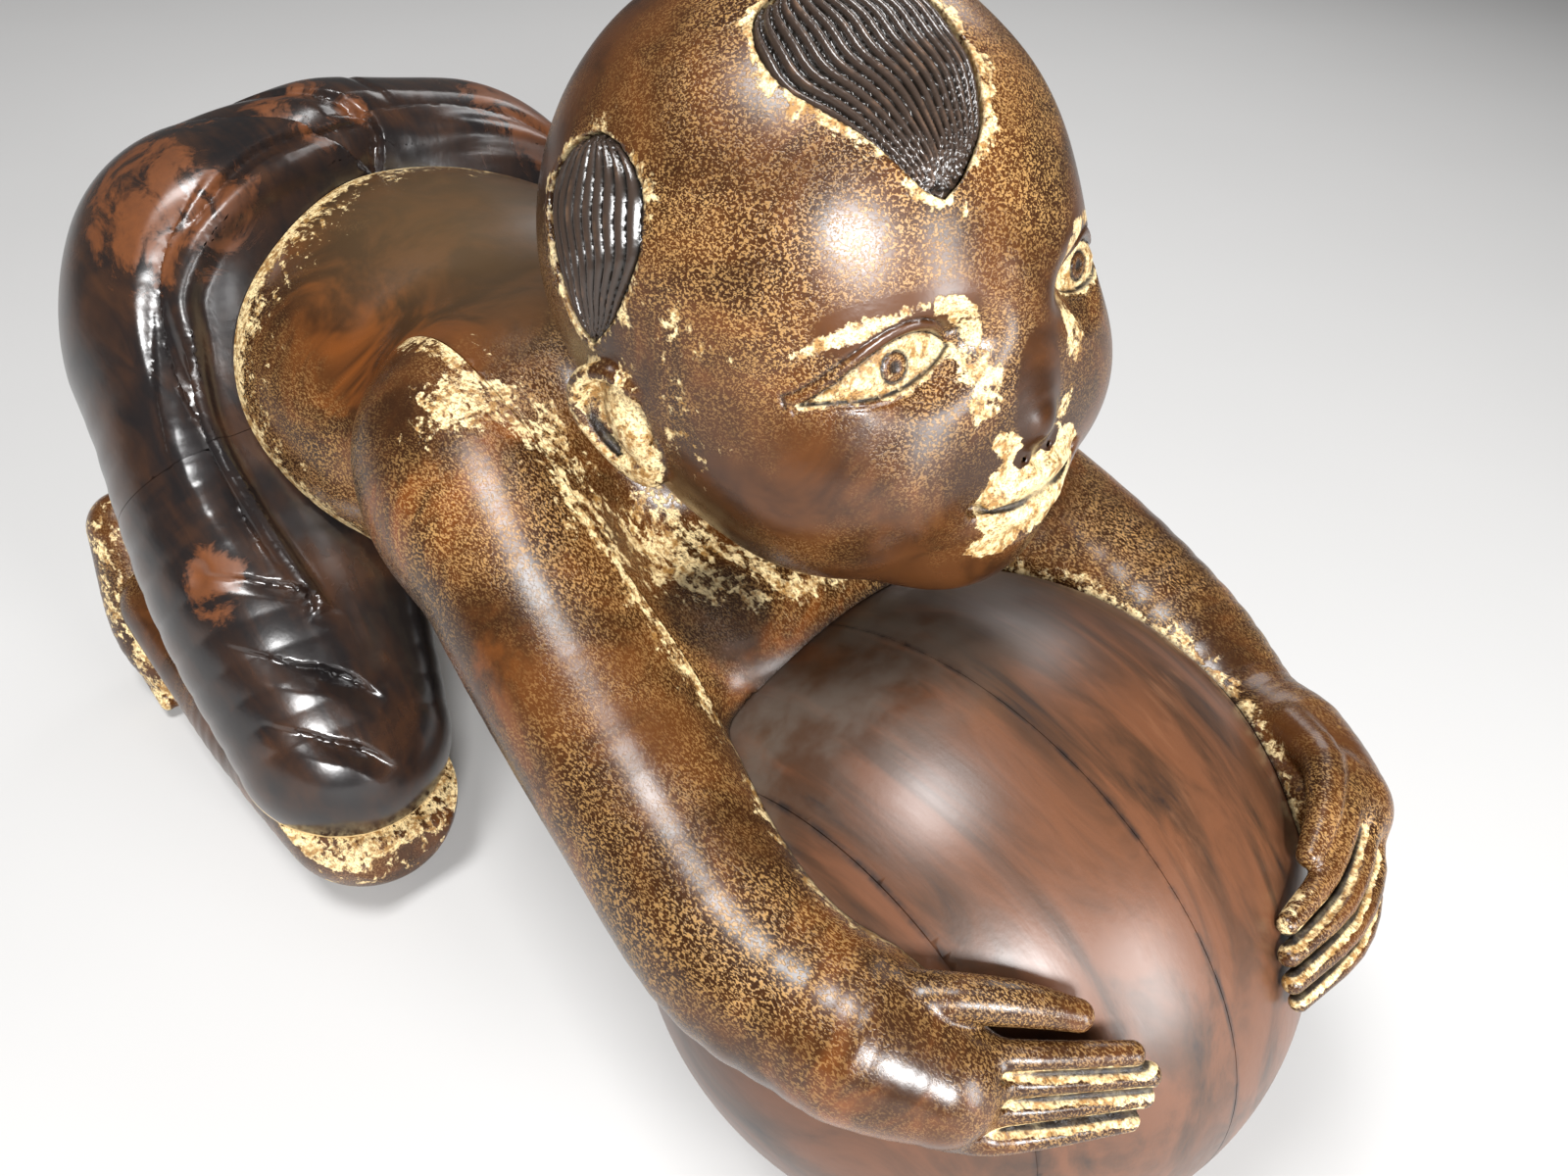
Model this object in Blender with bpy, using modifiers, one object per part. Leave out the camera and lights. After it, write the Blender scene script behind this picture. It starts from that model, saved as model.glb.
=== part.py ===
"""Kneeling child hugging a big ball, carved from glued-up blocks. Metres, +Z up, the figure faces -Y."""
import math

import bmesh
import bpy
from mathutils import Matrix, Vector

object_name = "kneeling_child_with_ball"
gap = 0.0005  # glue line between two blocks
voxel = 0.005  # carving grain of the blended forms
weld = 0.00005  # points this close become one
detail = {
    "head": (1300, 3),
    "torso": (1000, 10),
    "arm": (850, 5),
    "hips": (1500, 10),
    "shin": (320, 3),
    "foot": (300, 3),
}  # triangles and smoothing passes of the blended forms
egg_steps, fine_steps = 28, 40
limb_sides, limb_steps = 5, 6
to_middle = -0.0310  # moves the drawn forms so that the origin is under the middle of the whole

ball_centre = (0.0, -0.233, 0.1568)
ball_radii = (0.171, 0.172, 0.1593)
ball_joints = (-0.113, -0.027, 0.100)  # glue planes across the ball

head_centre = (0.0, -0.076, 0.455)
head_radii = (0.113, 0.121, 0.118)
head_tilt = (-12.7, -5.4, -0.7)  # degrees about x, y, z

# Head forms in the head's own frame: (centre, radii, tilt in degrees).
head_forms = (
    ((0, -0.032, -0.061), (0.093, 0.083, 0.076), (0, 0, 0)),
    ((0.045, -0.062, -0.062), (0.047, 0.048, 0.047), (0, 0, 0)),
    ((-0.045, -0.062, -0.062), (0.047, 0.048, 0.047), (0, 0, 0)),
    ((0, -0.082, -0.112), (0.035, 0.029, 0.027), (0, 0, 0)),
    ((0, -0.117, -0.055), (0.015, 0.015, 0.015), (0, 0, 0)),
    ((0, -0.114, -0.030), (0.009, 0.012, 0.026), (14, 0, 0)),
    ((0, -0.108, -0.088), (0.028, 0.017, 0.012), (0, 0, 0)),
    ((0.111, 0.003, -0.042), (0.011, 0.021, 0.030), (-18, 0, -10)),
    ((-0.111, 0.003, -0.042), (0.011, 0.021, 0.030), (-18, 0, 10)),
)

shoulder_joint = 0.100  # distance of the arm glue planes from the middle
arm_back = 0.105  # where an arm block ends behind the shoulder
arm_front = -0.165  # where the straight shoulder glue plane ends in front
waist_line = (
    (0.0, -0.06),
    (0.08, 0.030),
    (0.14, 0.090),
    (0.184, 0.133),
    (0.232, 0.186),
    (0.265, 0.226),
    (0.306, 0.255),
    (0.376, 0.282),
    (0.50, 0.30),
)  # (z, y)
thigh_joint = ((0.125, 0.275, 0.195), (0.0, 0.79, 0.61))  # point and direction of the thigh glue plane
leg_inside = 0.012  # half of the space between the trouser legs
hem_start, hem_rise = (0.07, 0.052), 0.30  # (y, z) of the trouser hem at the knee, and its slope
reach = 0.9  # size of the helper blocks, larger than the object

peg_radius = 0.006
peg_length = 0.044
peg_room = 0.0004
peg_sides = 20
# Peg places on the left side and directions; the right side mirrors them.
knee_peg = ((0.166, 0.150, 0.075), (0, -hem_rise, 1))
shoulder_peg = ((shoulder_joint, 0.045, 0.300), (1, 0, 0))
waist_peg = ((0.055, 0.252, 0.300), (0, 1, -0.3))
neck_peg = ((0, 0.000, 0.375), (0, -0.35, 1))

# Eggs: (centre, radii). Where x isn't zero, the form is on both sides.
trunk_eggs = (
    ((0, 0.215, 0.262), (0.146, 0.175, 0.112)),
    ((0, 0.045, 0.275), (0.128, 0.110, 0.092)),
    ((0, 0.080, 0.200), (0.100, 0.120, 0.090)),
    ((0, -0.078, 0.262), (0.130, 0.080, 0.050)),
    ((0.062, 0.075, 0.320), (0.050, 0.070, 0.050)),
)
hip_eggs = (
    ((0.078, 0.345, 0.268), (0.113, 0.125, 0.120)),
    ((0, 0.350, 0.290), (0.105, 0.112, 0.110)),
)
shoulder_egg = ((0.110, 0.030, 0.298), (0.052, 0.070, 0.060))

# Limbs: (x, y, z, radius) stations. The legs are written for the left side.
neck = ((0, 0.050, 0.310, 0.062), (0, 0.005, 0.345, 0.055), (0, -0.030, 0.380, 0.050))
left_arm = (
    (0.096, 0.060, 0.308, 0.056),
    (0.138, -0.040, 0.284, 0.055),
    (0.163, -0.145, 0.246, 0.056),
    (0.159, -0.232, 0.234, 0.046),
    (0.142, -0.292, 0.228, 0.036),
    (0.121, -0.337, 0.240, 0.028),
)
left_palm = (
    (0.128, -0.322, 0.240, 0.029),
    (0.098, -0.368, 0.247, 0.023),
    (0.055, -0.389, 0.243, 0.019),
    (0.026, -0.387, 0.238, 0.016),
)
right_arm = (
    (-0.096, 0.060, 0.316, 0.056),
    (-0.124, -0.040, 0.288, 0.050),
    (-0.141, -0.145, 0.247, 0.045),
    (-0.155, -0.225, 0.236, 0.041),
    (-0.146, -0.285, 0.238, 0.033),
    (-0.138, -0.312, 0.238, 0.027),
)
right_palm = (
    (-0.146, -0.292, 0.238, 0.029),
    (-0.126, -0.330, 0.239, 0.023),
    (-0.108, -0.350, 0.240, 0.019),
    (-0.090, -0.366, 0.240, 0.016),
)
thigh = ((0.105, 0.330, 0.235, 0.098), (0.145, 0.220, 0.155, 0.084), (0.165, 0.130, 0.082, 0.066))
shin = (
    (0.170, 0.100, 0.052, 0.054),
    (0.183, 0.190, 0.050, 0.043),
    (0.188, 0.265, 0.052, 0.035),
    (0.188, 0.335, 0.072, 0.034),
)
foot = ((0.190, 0.378, 0.115, 0.027), (0.197, 0.352, 0.050, 0.031), (0.199, 0.322, 0.022, 0.024))

# Hair tufts: outline in metres across and up the tuft; its place is a direction out of the skull and a turn.
front_leaf = (
    (-0.002, -0.049),
    (0.009, -0.044),
    (0.023, -0.031),
    (0.035, -0.005),
    (0.036, 0.010),
    (0.034, 0.025),
    (0.027, 0.038),
    (0.016, 0.045),
    (-0.004, 0.048),
    (-0.022, 0.045),
    (-0.031, 0.038),
    (-0.037, 0.025),
    (-0.036, 0.010),
    (-0.030, -0.005),
    (-0.015, -0.031),
)
side_leaf = (
    (-0.010, -0.041),
    (0.004, -0.034),
    (0.015, -0.026),
    (0.028, -0.008),
    (0.032, 0.009),
    (0.030, 0.020),
    (0.022, 0.030),
    (0.003, 0.039),
    (-0.010, 0.036),
    (-0.023, 0.030),
    (-0.032, 0.020),
    (-0.034, 0.009),
    (-0.030, -0.008),
    (-0.018, -0.034),
)
front_tuft = ((-0.022, -0.080, 0.080), (0.12, 0.7, 0.7))
right_tuft = ((-0.104, 0.003, 0.034), (0.3, 0.12, 1))
left_tuft = ((0.104, 0.003, 0.034), (-0.3, 0.12, 1))
tuft_depth = 0.012
tuft_height = 0.05
tuft_share = 0.985  # the tuft against its pocket, for the glue line

skin_look = ((0.24, 0.11, 0.035), 0.35)  # colour, roughness
leg_look = ((0.36, 0.22, 0.09), 0.4)
trouser_look = ((0.045, 0.028, 0.020), 0.35)
hair_look = ((0.035, 0.024, 0.018), 0.45)
ball_look = ((0.13, 0.042, 0.022), 0.3)
peg_look = ((0.42, 0.28, 0.16), 0.8)
sharp_edge = math.radians(40)


def clear():
    for thing in list(bpy.data.objects):
        bpy.data.objects.remove(thing, do_unlink=True)
    for name in (object_name, "cutters"):
        bpy.context.scene.collection.children.link(bpy.data.collections.new(name))


def place(thing, collection):
    for owner in list(thing.users_collection):
        owner.objects.unlink(thing)
    bpy.data.collections[collection].objects.link(thing)
    if collection == "cutters":
        thing.hide_render = True
        thing.hide_viewport = False
        thing.display_type = "WIRE"
    return thing


def from_mesh(name, mesh):
    return place(bpy.data.objects.new(name, mesh), "cutters")


def from_shape(name, shape):
    mesh = bpy.data.meshes.new(name)
    shape.to_mesh(mesh)
    shape.free()
    return from_mesh(name, mesh)


def turn(tilt):
    about_x, about_y, about_z = (Matrix.Rotation(math.radians(v), 4, axis) for v, axis in zip(tilt, "XYZ"))
    return about_z @ about_y @ about_x


def egg(centre, radii, tilt=(0, 0, 0), steps=egg_steps):
    shape = bmesh.new()
    bmesh.ops.create_uvsphere(shape, u_segments=steps, v_segments=steps // 2, radius=1.0)
    shape.transform(Matrix.Translation(centre) @ turn(tilt) @ Matrix.Diagonal((*radii, 1.0)))
    return shape


def curve_shape(line):
    """The curve's surface, with its caps joined on."""
    holder = bpy.data.objects.new("curve", line)
    bpy.context.scene.collection.objects.link(holder)
    mesh = bpy.data.meshes.new_from_object(holder.evaluated_get(bpy.context.evaluated_depsgraph_get()))
    bpy.data.objects.remove(holder, do_unlink=True)
    shape = bmesh.new()
    shape.from_mesh(mesh)
    bmesh.ops.remove_doubles(shape, verts=shape.verts, dist=weld)
    return shape


def limb(stations):
    """A bevelled curve through the stations, capped with round ends."""
    line = bpy.data.curves.new("limb", "CURVE")
    line.dimensions = "3D"
    line.bevel_depth = 1.0
    line.bevel_resolution = limb_sides
    line.resolution_u = limb_steps
    line.use_fill_caps = True
    spline = line.splines.new("BEZIER")
    spline.bezier_points.add(len(stations) - 1)
    for point, (x, y, z, radius) in zip(spline.bezier_points, stations):
        point.co = (x, y, z)
        point.radius = radius
        point.handle_left_type = point.handle_right_type = "AUTO"
    shape = curve_shape(line)
    for x, y, z, radius in (stations[0], stations[-1]):
        add(shape, egg((x, y, z), (radius, radius, radius)))
    return shape


def add(shape, other):
    mesh = bpy.data.meshes.new("part")
    other.to_mesh(mesh)
    other.free()
    shape.from_mesh(mesh)
    return shape


def apply_all(thing):
    mesh = bpy.data.meshes.new_from_object(thing.evaluated_get(bpy.context.evaluated_depsgraph_get()))
    thing.modifiers.clear()
    thing.data = mesh
    return thing


def blend(name, shapes):
    """Joined shapes melted into one smooth form; the detail table says how fine and how rounded."""
    triangles, rounding = detail[name.partition("_")[0]]
    whole = shapes[0]
    for other in shapes[1:]:
        add(whole, other)
    thing = from_shape(name, whole)
    remesh = thing.modifiers.new("carve", "REMESH")
    remesh.mode = "VOXEL"
    remesh.voxel_size = voxel
    smooth = thing.modifiers.new("smooth", "SMOOTH")
    smooth.factor = 0.5
    smooth.iterations = rounding
    apply_all(thing)
    fewer = thing.modifiers.new("fewer", "DECIMATE")
    fewer.ratio = min(1.0, triangles / (2.0 * len(thing.data.polygons)))
    return apply_all(thing)


def block(low, high):
    shape = bmesh.new()
    bmesh.ops.create_cube(shape, size=1.0)
    size = [b - a for a, b in zip(low, high)]
    middle = [(a + b) / 2 for a, b in zip(low, high)]
    shape.transform(Matrix.Translation(middle) @ Matrix.Diagonal((*size, 1.0)))
    return from_shape("block", shape)


def prism(outline, low, high, frame):
    """The outline drawn in the frame's x and y, from low to high along its z."""
    line = bpy.data.curves.new("outline", "CURVE")
    line.dimensions = "2D"
    line.fill_mode = "BOTH"
    line.extrude = (high - low) / 2
    spline = line.splines.new("POLY")
    spline.points.add(len(outline) - 1)
    for point, (x, y) in zip(spline.points, outline):
        point.co = (x, y, 0, 1)
    spline.use_cyclic_u = True
    shape = curve_shape(line)
    shape.transform(frame @ Matrix.Translation((0, 0, (low + high) / 2)))
    return from_shape("prism", facing_out(shape))


def facing_out(shape):
    shape.normal_update()
    bmesh.ops.recalc_face_normals(shape, faces=shape.faces)
    if shape.calc_volume(signed=True) < 0:
        bmesh.ops.reverse_faces(shape, faces=shape.faces)
    return shape


def outward(direction, point):
    frame = Vector(direction).normalized().to_track_quat("Z", "Y").to_matrix().to_4x4()
    frame.translation = Vector(point)
    return frame


def half(point, direction):
    """A large block behind the plane through the point, on the side that direction points to."""
    shape = bmesh.new()
    bmesh.ops.create_cube(shape, size=2 * reach)
    shape.transform(outward(direction, point) @ Matrix.Translation((0, 0, reach)))
    return from_shape("half", shape)


def combine(thing, cutter, operation="DIFFERENCE"):
    cut = thing.modifiers.new("cut", "BOOLEAN")
    cut.operation = operation
    cut.solver = "EXACT"
    cut.object = cutter
    return apply_all(thing)


def copy_of(thing, grow=0.0):
    twin = from_mesh(thing.name + "_room", thing.data.copy())
    if grow:
        push = twin.modifiers.new("grow", "DISPLACE")
        push.strength = grow
        push.mid_level = 0.0
        apply_all(twin)
    return twin


def largest(thing):
    """Keeps the biggest body when a cut leaves a crumb behind."""
    shape = bmesh.new()
    shape.from_mesh(thing.data)
    left = set(shape.verts)
    bodies = []
    while left:
        body = set()
        edge = [left.pop()]
        while edge:
            vert = edge.pop()
            body.add(vert)
            for link in vert.link_edges:
                other = link.other_vert(vert)
                if other in left:
                    left.discard(other)
                    edge.append(other)
        bodies.append(body)
    bodies.sort(key=len)
    for crumb in bodies[:-1]:
        bmesh.ops.delete(shape, geom=list(crumb), context="VERTS")
    shape.to_mesh(thing.data)
    shape.free()
    return thing


def finish(thing, name, look):
    """Names the node, gives it its own material and moves it to the object's collection."""
    largest(thing)
    thing.name = name
    thing.data.name = name
    thing.data.materials.clear()
    material = bpy.data.materials.new(name)
    material.use_nodes = True
    shader = material.node_tree.nodes["Principled BSDF"]
    colour, roughness = look
    shader.inputs["Base Color"].default_value = (*colour, 1.0)
    shader.inputs["Roughness"].default_value = roughness
    thing.data.materials.append(material)
    thing.data.shade_smooth()
    thing.data.set_sharp_from_angle(angle=sharp_edge)
    thing.hide_render = False
    thing.display_type = "TEXTURED"
    thing.location = (0, to_middle, 0)
    return place(thing, object_name)


def side_on():
    """Draws an outline in y and z, and extrudes it along x."""
    return Matrix(((0, 0, 1, 0), (1, 0, 0, 0), (0, 1, 0, 0), (0, 0, 0, 1)))


def waist_cutter(shift):
    """Everything behind the waist line, moved back by shift."""
    line = [(y + shift, z) for z, y in waist_line]
    outline = [(reach, line[0][1]), *line, (line[-1][0], reach), (reach, reach)]
    return prism(outline, -reach, reach, side_on())


def hem_cutter(shift):
    """Everything below the sloping hem, moved down by shift."""
    start_y, start_z = hem_start
    line = [(y, start_z + hem_rise * (y - start_y) - shift) for y in (reach, -reach)]
    outline = [(reach, -reach), *line, (-reach, -reach)]
    return prism(outline, -reach, reach, side_on())


def beside(side, near, low=(-reach, -reach), high=(reach, reach)):
    """A block on one side of the middle, from near outwards; low and high are its y and z."""
    inner, outer = sorted((side * near, side * reach))
    return block((inner, *low), (outer, *high))


def mirrored(stations, side):
    return tuple((x * side, *rest) for x, *rest in stations)


def both_sides(eggs):
    for (x, y, z), radii in eggs:
        yield egg((x, y, z), radii)
        if x:
            yield egg((-x, y, z), radii)


def peg(name, spot, hosts, side=1):
    """A round peg across a glue line, and the blind holes that hold it."""
    (x, y, z), (across, *along) = spot
    frame = outward((across * side, *along), (x * side, y, z))

    def rod(radius, length):
        size = {"radius1": radius, "radius2": radius, "depth": length}
        shape = bmesh.new()
        bmesh.ops.create_cone(shape, cap_ends=True, segments=peg_sides, **size)
        shape.transform(frame)
        return from_shape("rod", facing_out(shape))

    for host in hosts:
        combine(host, rod(peg_radius + peg_room, peg_length + 2 * peg_room))
    finish(rod(peg_radius, peg_length), name, peg_look)


def build_head():
    frame = Matrix.Translation(head_centre) @ turn(head_tilt)
    shapes = [egg((0, 0, 0), head_radii, steps=fine_steps)]
    shapes += [egg(centre, radii, tilt) for centre, radii, tilt in head_forms]
    for shape in shapes:
        shape.transform(frame)
    return blend("head", shapes), frame


def tuft_frame(head_frame, direction, up):
    """A frame on the skull whose z points out of it and whose y runs up the tuft."""
    out = Vector(direction).normalized()
    across = Vector(up).cross(out).normalized()
    along = out.cross(across)
    frame = Matrix((across, along, out)).transposed().to_4x4()
    scale = 1.0 / math.sqrt(sum((a / b) ** 2 for a, b in zip(out, head_radii)))
    frame.translation = out * scale
    return head_frame @ frame


def build_tuft(name, head, leaf, frame):
    pocket = prism(leaf, -tuft_depth, tuft_height, frame)
    inset = [(x * tuft_share, y * tuft_share) for x, y in leaf]
    tuft = prism(inset, gap - tuft_depth, tuft_height, frame)
    combine(tuft, head, "INTERSECT")
    combine(head, pocket)
    finish(tuft, name, hair_look)


def build_arm(side, name, arm, palm, ball_room):
    (x, y, z), radii = shoulder_egg
    piece = blend(name, [limb(arm), limb(palm), egg((x * side, y, z), radii)])
    combine(piece, beside(-side, -shoulder_joint - gap, low=(arm_front, -reach)))
    combine(piece, block((-reach, arm_back - gap, -reach), (reach, reach, reach)))
    combine(piece, ball_room)
    return piece


def build_leg(side, tag, hips, legs, below, floor):
    """The trouser leg, shin and foot of one side, pegged to each other and to the hips."""
    leg = copy_of(legs)
    combine(leg, below, "INTERSECT")
    combine(leg, beside(-side, -leg_inside))
    combine(leg, hem_cutter(0.0))
    toes = blend("foot_" + tag, [limb(mirrored(foot, side))])
    combine(toes, floor)
    calf = blend("shin_" + tag, [limb(mirrored(shin, side))])
    combine(calf, floor)
    combine(calf, hem_cutter(gap), "INTERSECT")
    combine(calf, copy_of(toes, 2 * gap))
    peg("peg_knee_" + tag, knee_peg, (calf, leg), side)
    finish(calf, "shin_" + tag, leg_look)
    finish(toes, "foot_" + tag, leg_look)
    peg("peg_thigh_" + tag, thigh_joint, (hips, leg), side)
    finish(leg, "trouser_leg_" + tag, trouser_look)


def build_ball(ball):
    """The ball as four glued slices with a peg across each glue line."""
    edges = (-reach, *ball_joints, reach)
    names = ("ball_cheek_right", "ball_middle_right", "ball_middle_left", "ball_cheek_left")
    slices = []
    for low, high in zip(edges[:-1], edges[1:]):
        piece = copy_of(ball)
        combine(piece, block((low + gap / 2, -reach, -reach), (high - gap / 2, reach, reach)), "INTERSECT")
        slices.append(piece)
    for at, first, second, tag in zip(ball_joints, slices[:-1], slices[1:], ("right", "middle", "left")):
        peg("peg_ball_" + tag, ((at, *ball_centre[1:]), (1, 0, 0)), (first, second))
    for piece, name in zip(slices, names):
        finish(piece, name, ball_look)


def main():
    clear()

    head, head_frame = build_head()
    head_room = copy_of(head, 2 * gap)
    floor = block((-reach, -reach, -reach), (reach, reach, 0))
    ball = from_shape("ball", egg(ball_centre, ball_radii, steps=fine_steps))
    ball_room = copy_of(ball, 2 * gap)
    combine(ball, floor)

    trunk = [*both_sides([*trunk_eggs, shoulder_egg]), limb(neck), limb(right_arm[:2]), limb(left_arm[:2])]
    torso = blend("torso", trunk)
    arm_right = build_arm(-1, "arm_right", right_arm, right_palm, ball_room)
    arm_left = build_arm(1, "arm_left", left_arm, left_palm, ball_room)
    for side in (-1, 1):
        combine(torso, beside(side, shoulder_joint, high=(arm_back, reach)))
    combine(torso, head_room)
    combine(torso, waist_cutter(0.0))
    combine(torso, ball_room)

    hips = blend("hips", [*both_sides(hip_eggs), limb(thigh), limb(mirrored(thigh, -1))])
    combine(hips, waist_cutter(gap), "INTERSECT")
    legs = copy_of(hips)
    point, direction = thigh_joint
    combine(hips, half(point, direction), "INTERSECT")
    below = half(Vector(point) - gap * Vector(direction), [-v for v in direction])
    for side, tag, sleeve in ((-1, "right", arm_right), (1, "left", arm_left)):
        build_leg(side, tag, hips, legs, below, floor)
        peg("peg_shoulder_" + tag, shoulder_peg, (torso, sleeve), side)
        peg("peg_waist_" + tag, waist_peg, (torso, hips), side)
        finish(sleeve, "arm_" + tag, skin_look)

    peg("peg_neck", neck_peg, (head, torso))
    mirror_leaf = [(-x, y) for x, y in reversed(side_leaf)]
    build_tuft("hair_front", head, front_leaf, tuft_frame(head_frame, *front_tuft))
    build_tuft("hair_right", head, side_leaf, tuft_frame(head_frame, *right_tuft))
    build_tuft("hair_left", head, mirror_leaf, tuft_frame(head_frame, *left_tuft))
    finish(head, "head", skin_look)
    finish(torso, "torso", skin_look)
    finish(hips, "hips", trouser_look)
    build_ball(ball)

    for thing in list(bpy.data.collections["cutters"].objects):
        bpy.data.objects.remove(thing, do_unlink=True)


main()
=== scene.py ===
import math

import bmesh
import bpy
import numpy as np
import openvdb
from mathutils import Matrix, Vector


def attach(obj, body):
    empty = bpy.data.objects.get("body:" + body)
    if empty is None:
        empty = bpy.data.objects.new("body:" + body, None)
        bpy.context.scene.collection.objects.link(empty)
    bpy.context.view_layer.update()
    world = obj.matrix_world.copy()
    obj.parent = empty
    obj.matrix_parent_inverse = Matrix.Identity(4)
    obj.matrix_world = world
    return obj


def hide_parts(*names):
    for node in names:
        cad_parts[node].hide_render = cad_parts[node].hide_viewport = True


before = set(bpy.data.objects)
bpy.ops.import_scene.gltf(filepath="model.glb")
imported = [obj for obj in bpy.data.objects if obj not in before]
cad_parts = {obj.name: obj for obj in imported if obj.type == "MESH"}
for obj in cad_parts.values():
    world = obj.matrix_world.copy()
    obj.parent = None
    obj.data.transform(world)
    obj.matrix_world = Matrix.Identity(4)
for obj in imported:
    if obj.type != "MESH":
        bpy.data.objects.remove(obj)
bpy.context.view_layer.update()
print("frame loaded")

carving = {
    "toMiddle": (0.0, -0.0310, 0.0),  # from the drawing's origin to the part's
    "coarser": 1.0,
    "glueLine": 0.0004,
}


# Fields are negative inside the wood and about the distance to its surface.


def join(a, b, k):
    h = np.maximum(k - np.abs(a - b), 0) / k
    return np.minimum(a, b) - h * h * k * 0.25


def trim(a, b, k):
    return -join(-a, -b, k)


def carve(a, b, k):
    return trim(a, -b, k)


def tiltMatrix(tilt):
    x, y, z = (math.radians(v) for v in tilt)
    turned = Matrix.Rotation(z, 3, "Z") @ Matrix.Rotation(y, 3, "Y") @ Matrix.Rotation(x, 3, "X")
    return np.array(turned, np.float32)


def egg(p, centre, radii, tilt=None):
    q = p - np.array(centre, np.float32)
    if tilt is not None:
        q = q @ tiltMatrix(tilt)
    r = np.array(radii, np.float32)
    a = q / r
    near = np.sqrt((a * a).sum(-1)) + 1e-7
    b = a / r
    return near * (near - 1) / (np.sqrt((b * b).sum(-1)) + 1e-7)


def smoothStations(stations, count):
    s = np.array(stations, np.float64)
    s = np.vstack([2 * s[0] - s[1], s, 2 * s[-1] - s[-2]])
    made = []
    for i in range(1, len(s) - 2):
        a, b, c, d = s[i - 1], s[i], s[i + 1], s[i + 2]
        for t in np.arange(count) / count:
            square = 2 * a - 5 * b + 4 * c - d
            cube = 3 * b - a - 3 * c + d
            made.append(0.5 * (2 * b + (c - a) * t + square * t * t + cube * t**3))
    made.append(s[-2])
    return np.array(made, np.float32)


def rope(p, stations, count=3):
    # a tapering round limb through the stations
    line = smoothStations(stations, count) if count > 1 else np.array(stations, np.float32)
    found = None
    for start, end in zip(line[:-1], line[1:]):
        along = end[:3] - start[:3]
        q = p - start[:3]
        t = np.clip(q @ along / float(along @ along), 0, 1)
        away = q - t[:, None] * along
        d = np.sqrt((away * away).sum(-1)) - (start[3] + (end[3] - start[3]) * t)
        found = d if found is None else np.minimum(found, d)
    return found


def mirrored(p):
    m = p.copy()
    m[:, 0] = np.abs(m[:, 0])
    return m


def flip(stations, side):
    return [(x * side, *rest) for x, *rest in stations]


def near(p, centre, reach):
    # which points a small detail can touch
    q = p - np.array(centre, np.float32)
    return (q * q).sum(-1) < reach * reach


def within(p, base, centre, reach, change):
    # runs a costly detail on the points near it only
    chosen = near(p, centre, reach)
    if chosen.any():
        base = base.copy()
        base[chosen] = change(p[chosen], base[chosen])
    return base


def waves(p, size, seed):
    # slow hand-carved unevenness between -1 and 1
    rng = np.random.default_rng(seed)
    total = np.zeros(len(p), np.float32)
    for _ in range(5):
        direction = rng.normal(size=3)
        direction *= rng.uniform(0.7, 1.4) / (np.linalg.norm(direction) * size)
        total += np.sin(p @ direction.astype(np.float32) * math.tau + rng.uniform(0, math.tau))
    return total / 5


def stretched(low, high, step, fine):
    # grid stations along one axis, closer together inside the fine range
    if fine is None:
        return np.arange(low, high + step, step, dtype=np.float64)
    start, end, fineStep = fine
    stations = [low]
    while stations[-1] < high:
        away = max(start - stations[-1], stations[-1] - end, 0)
        stations.append(stations[-1] + fineStep * carving["coarser"] + (step - fineStep) * min(1, away / 0.03))
    return np.array(stations)


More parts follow.
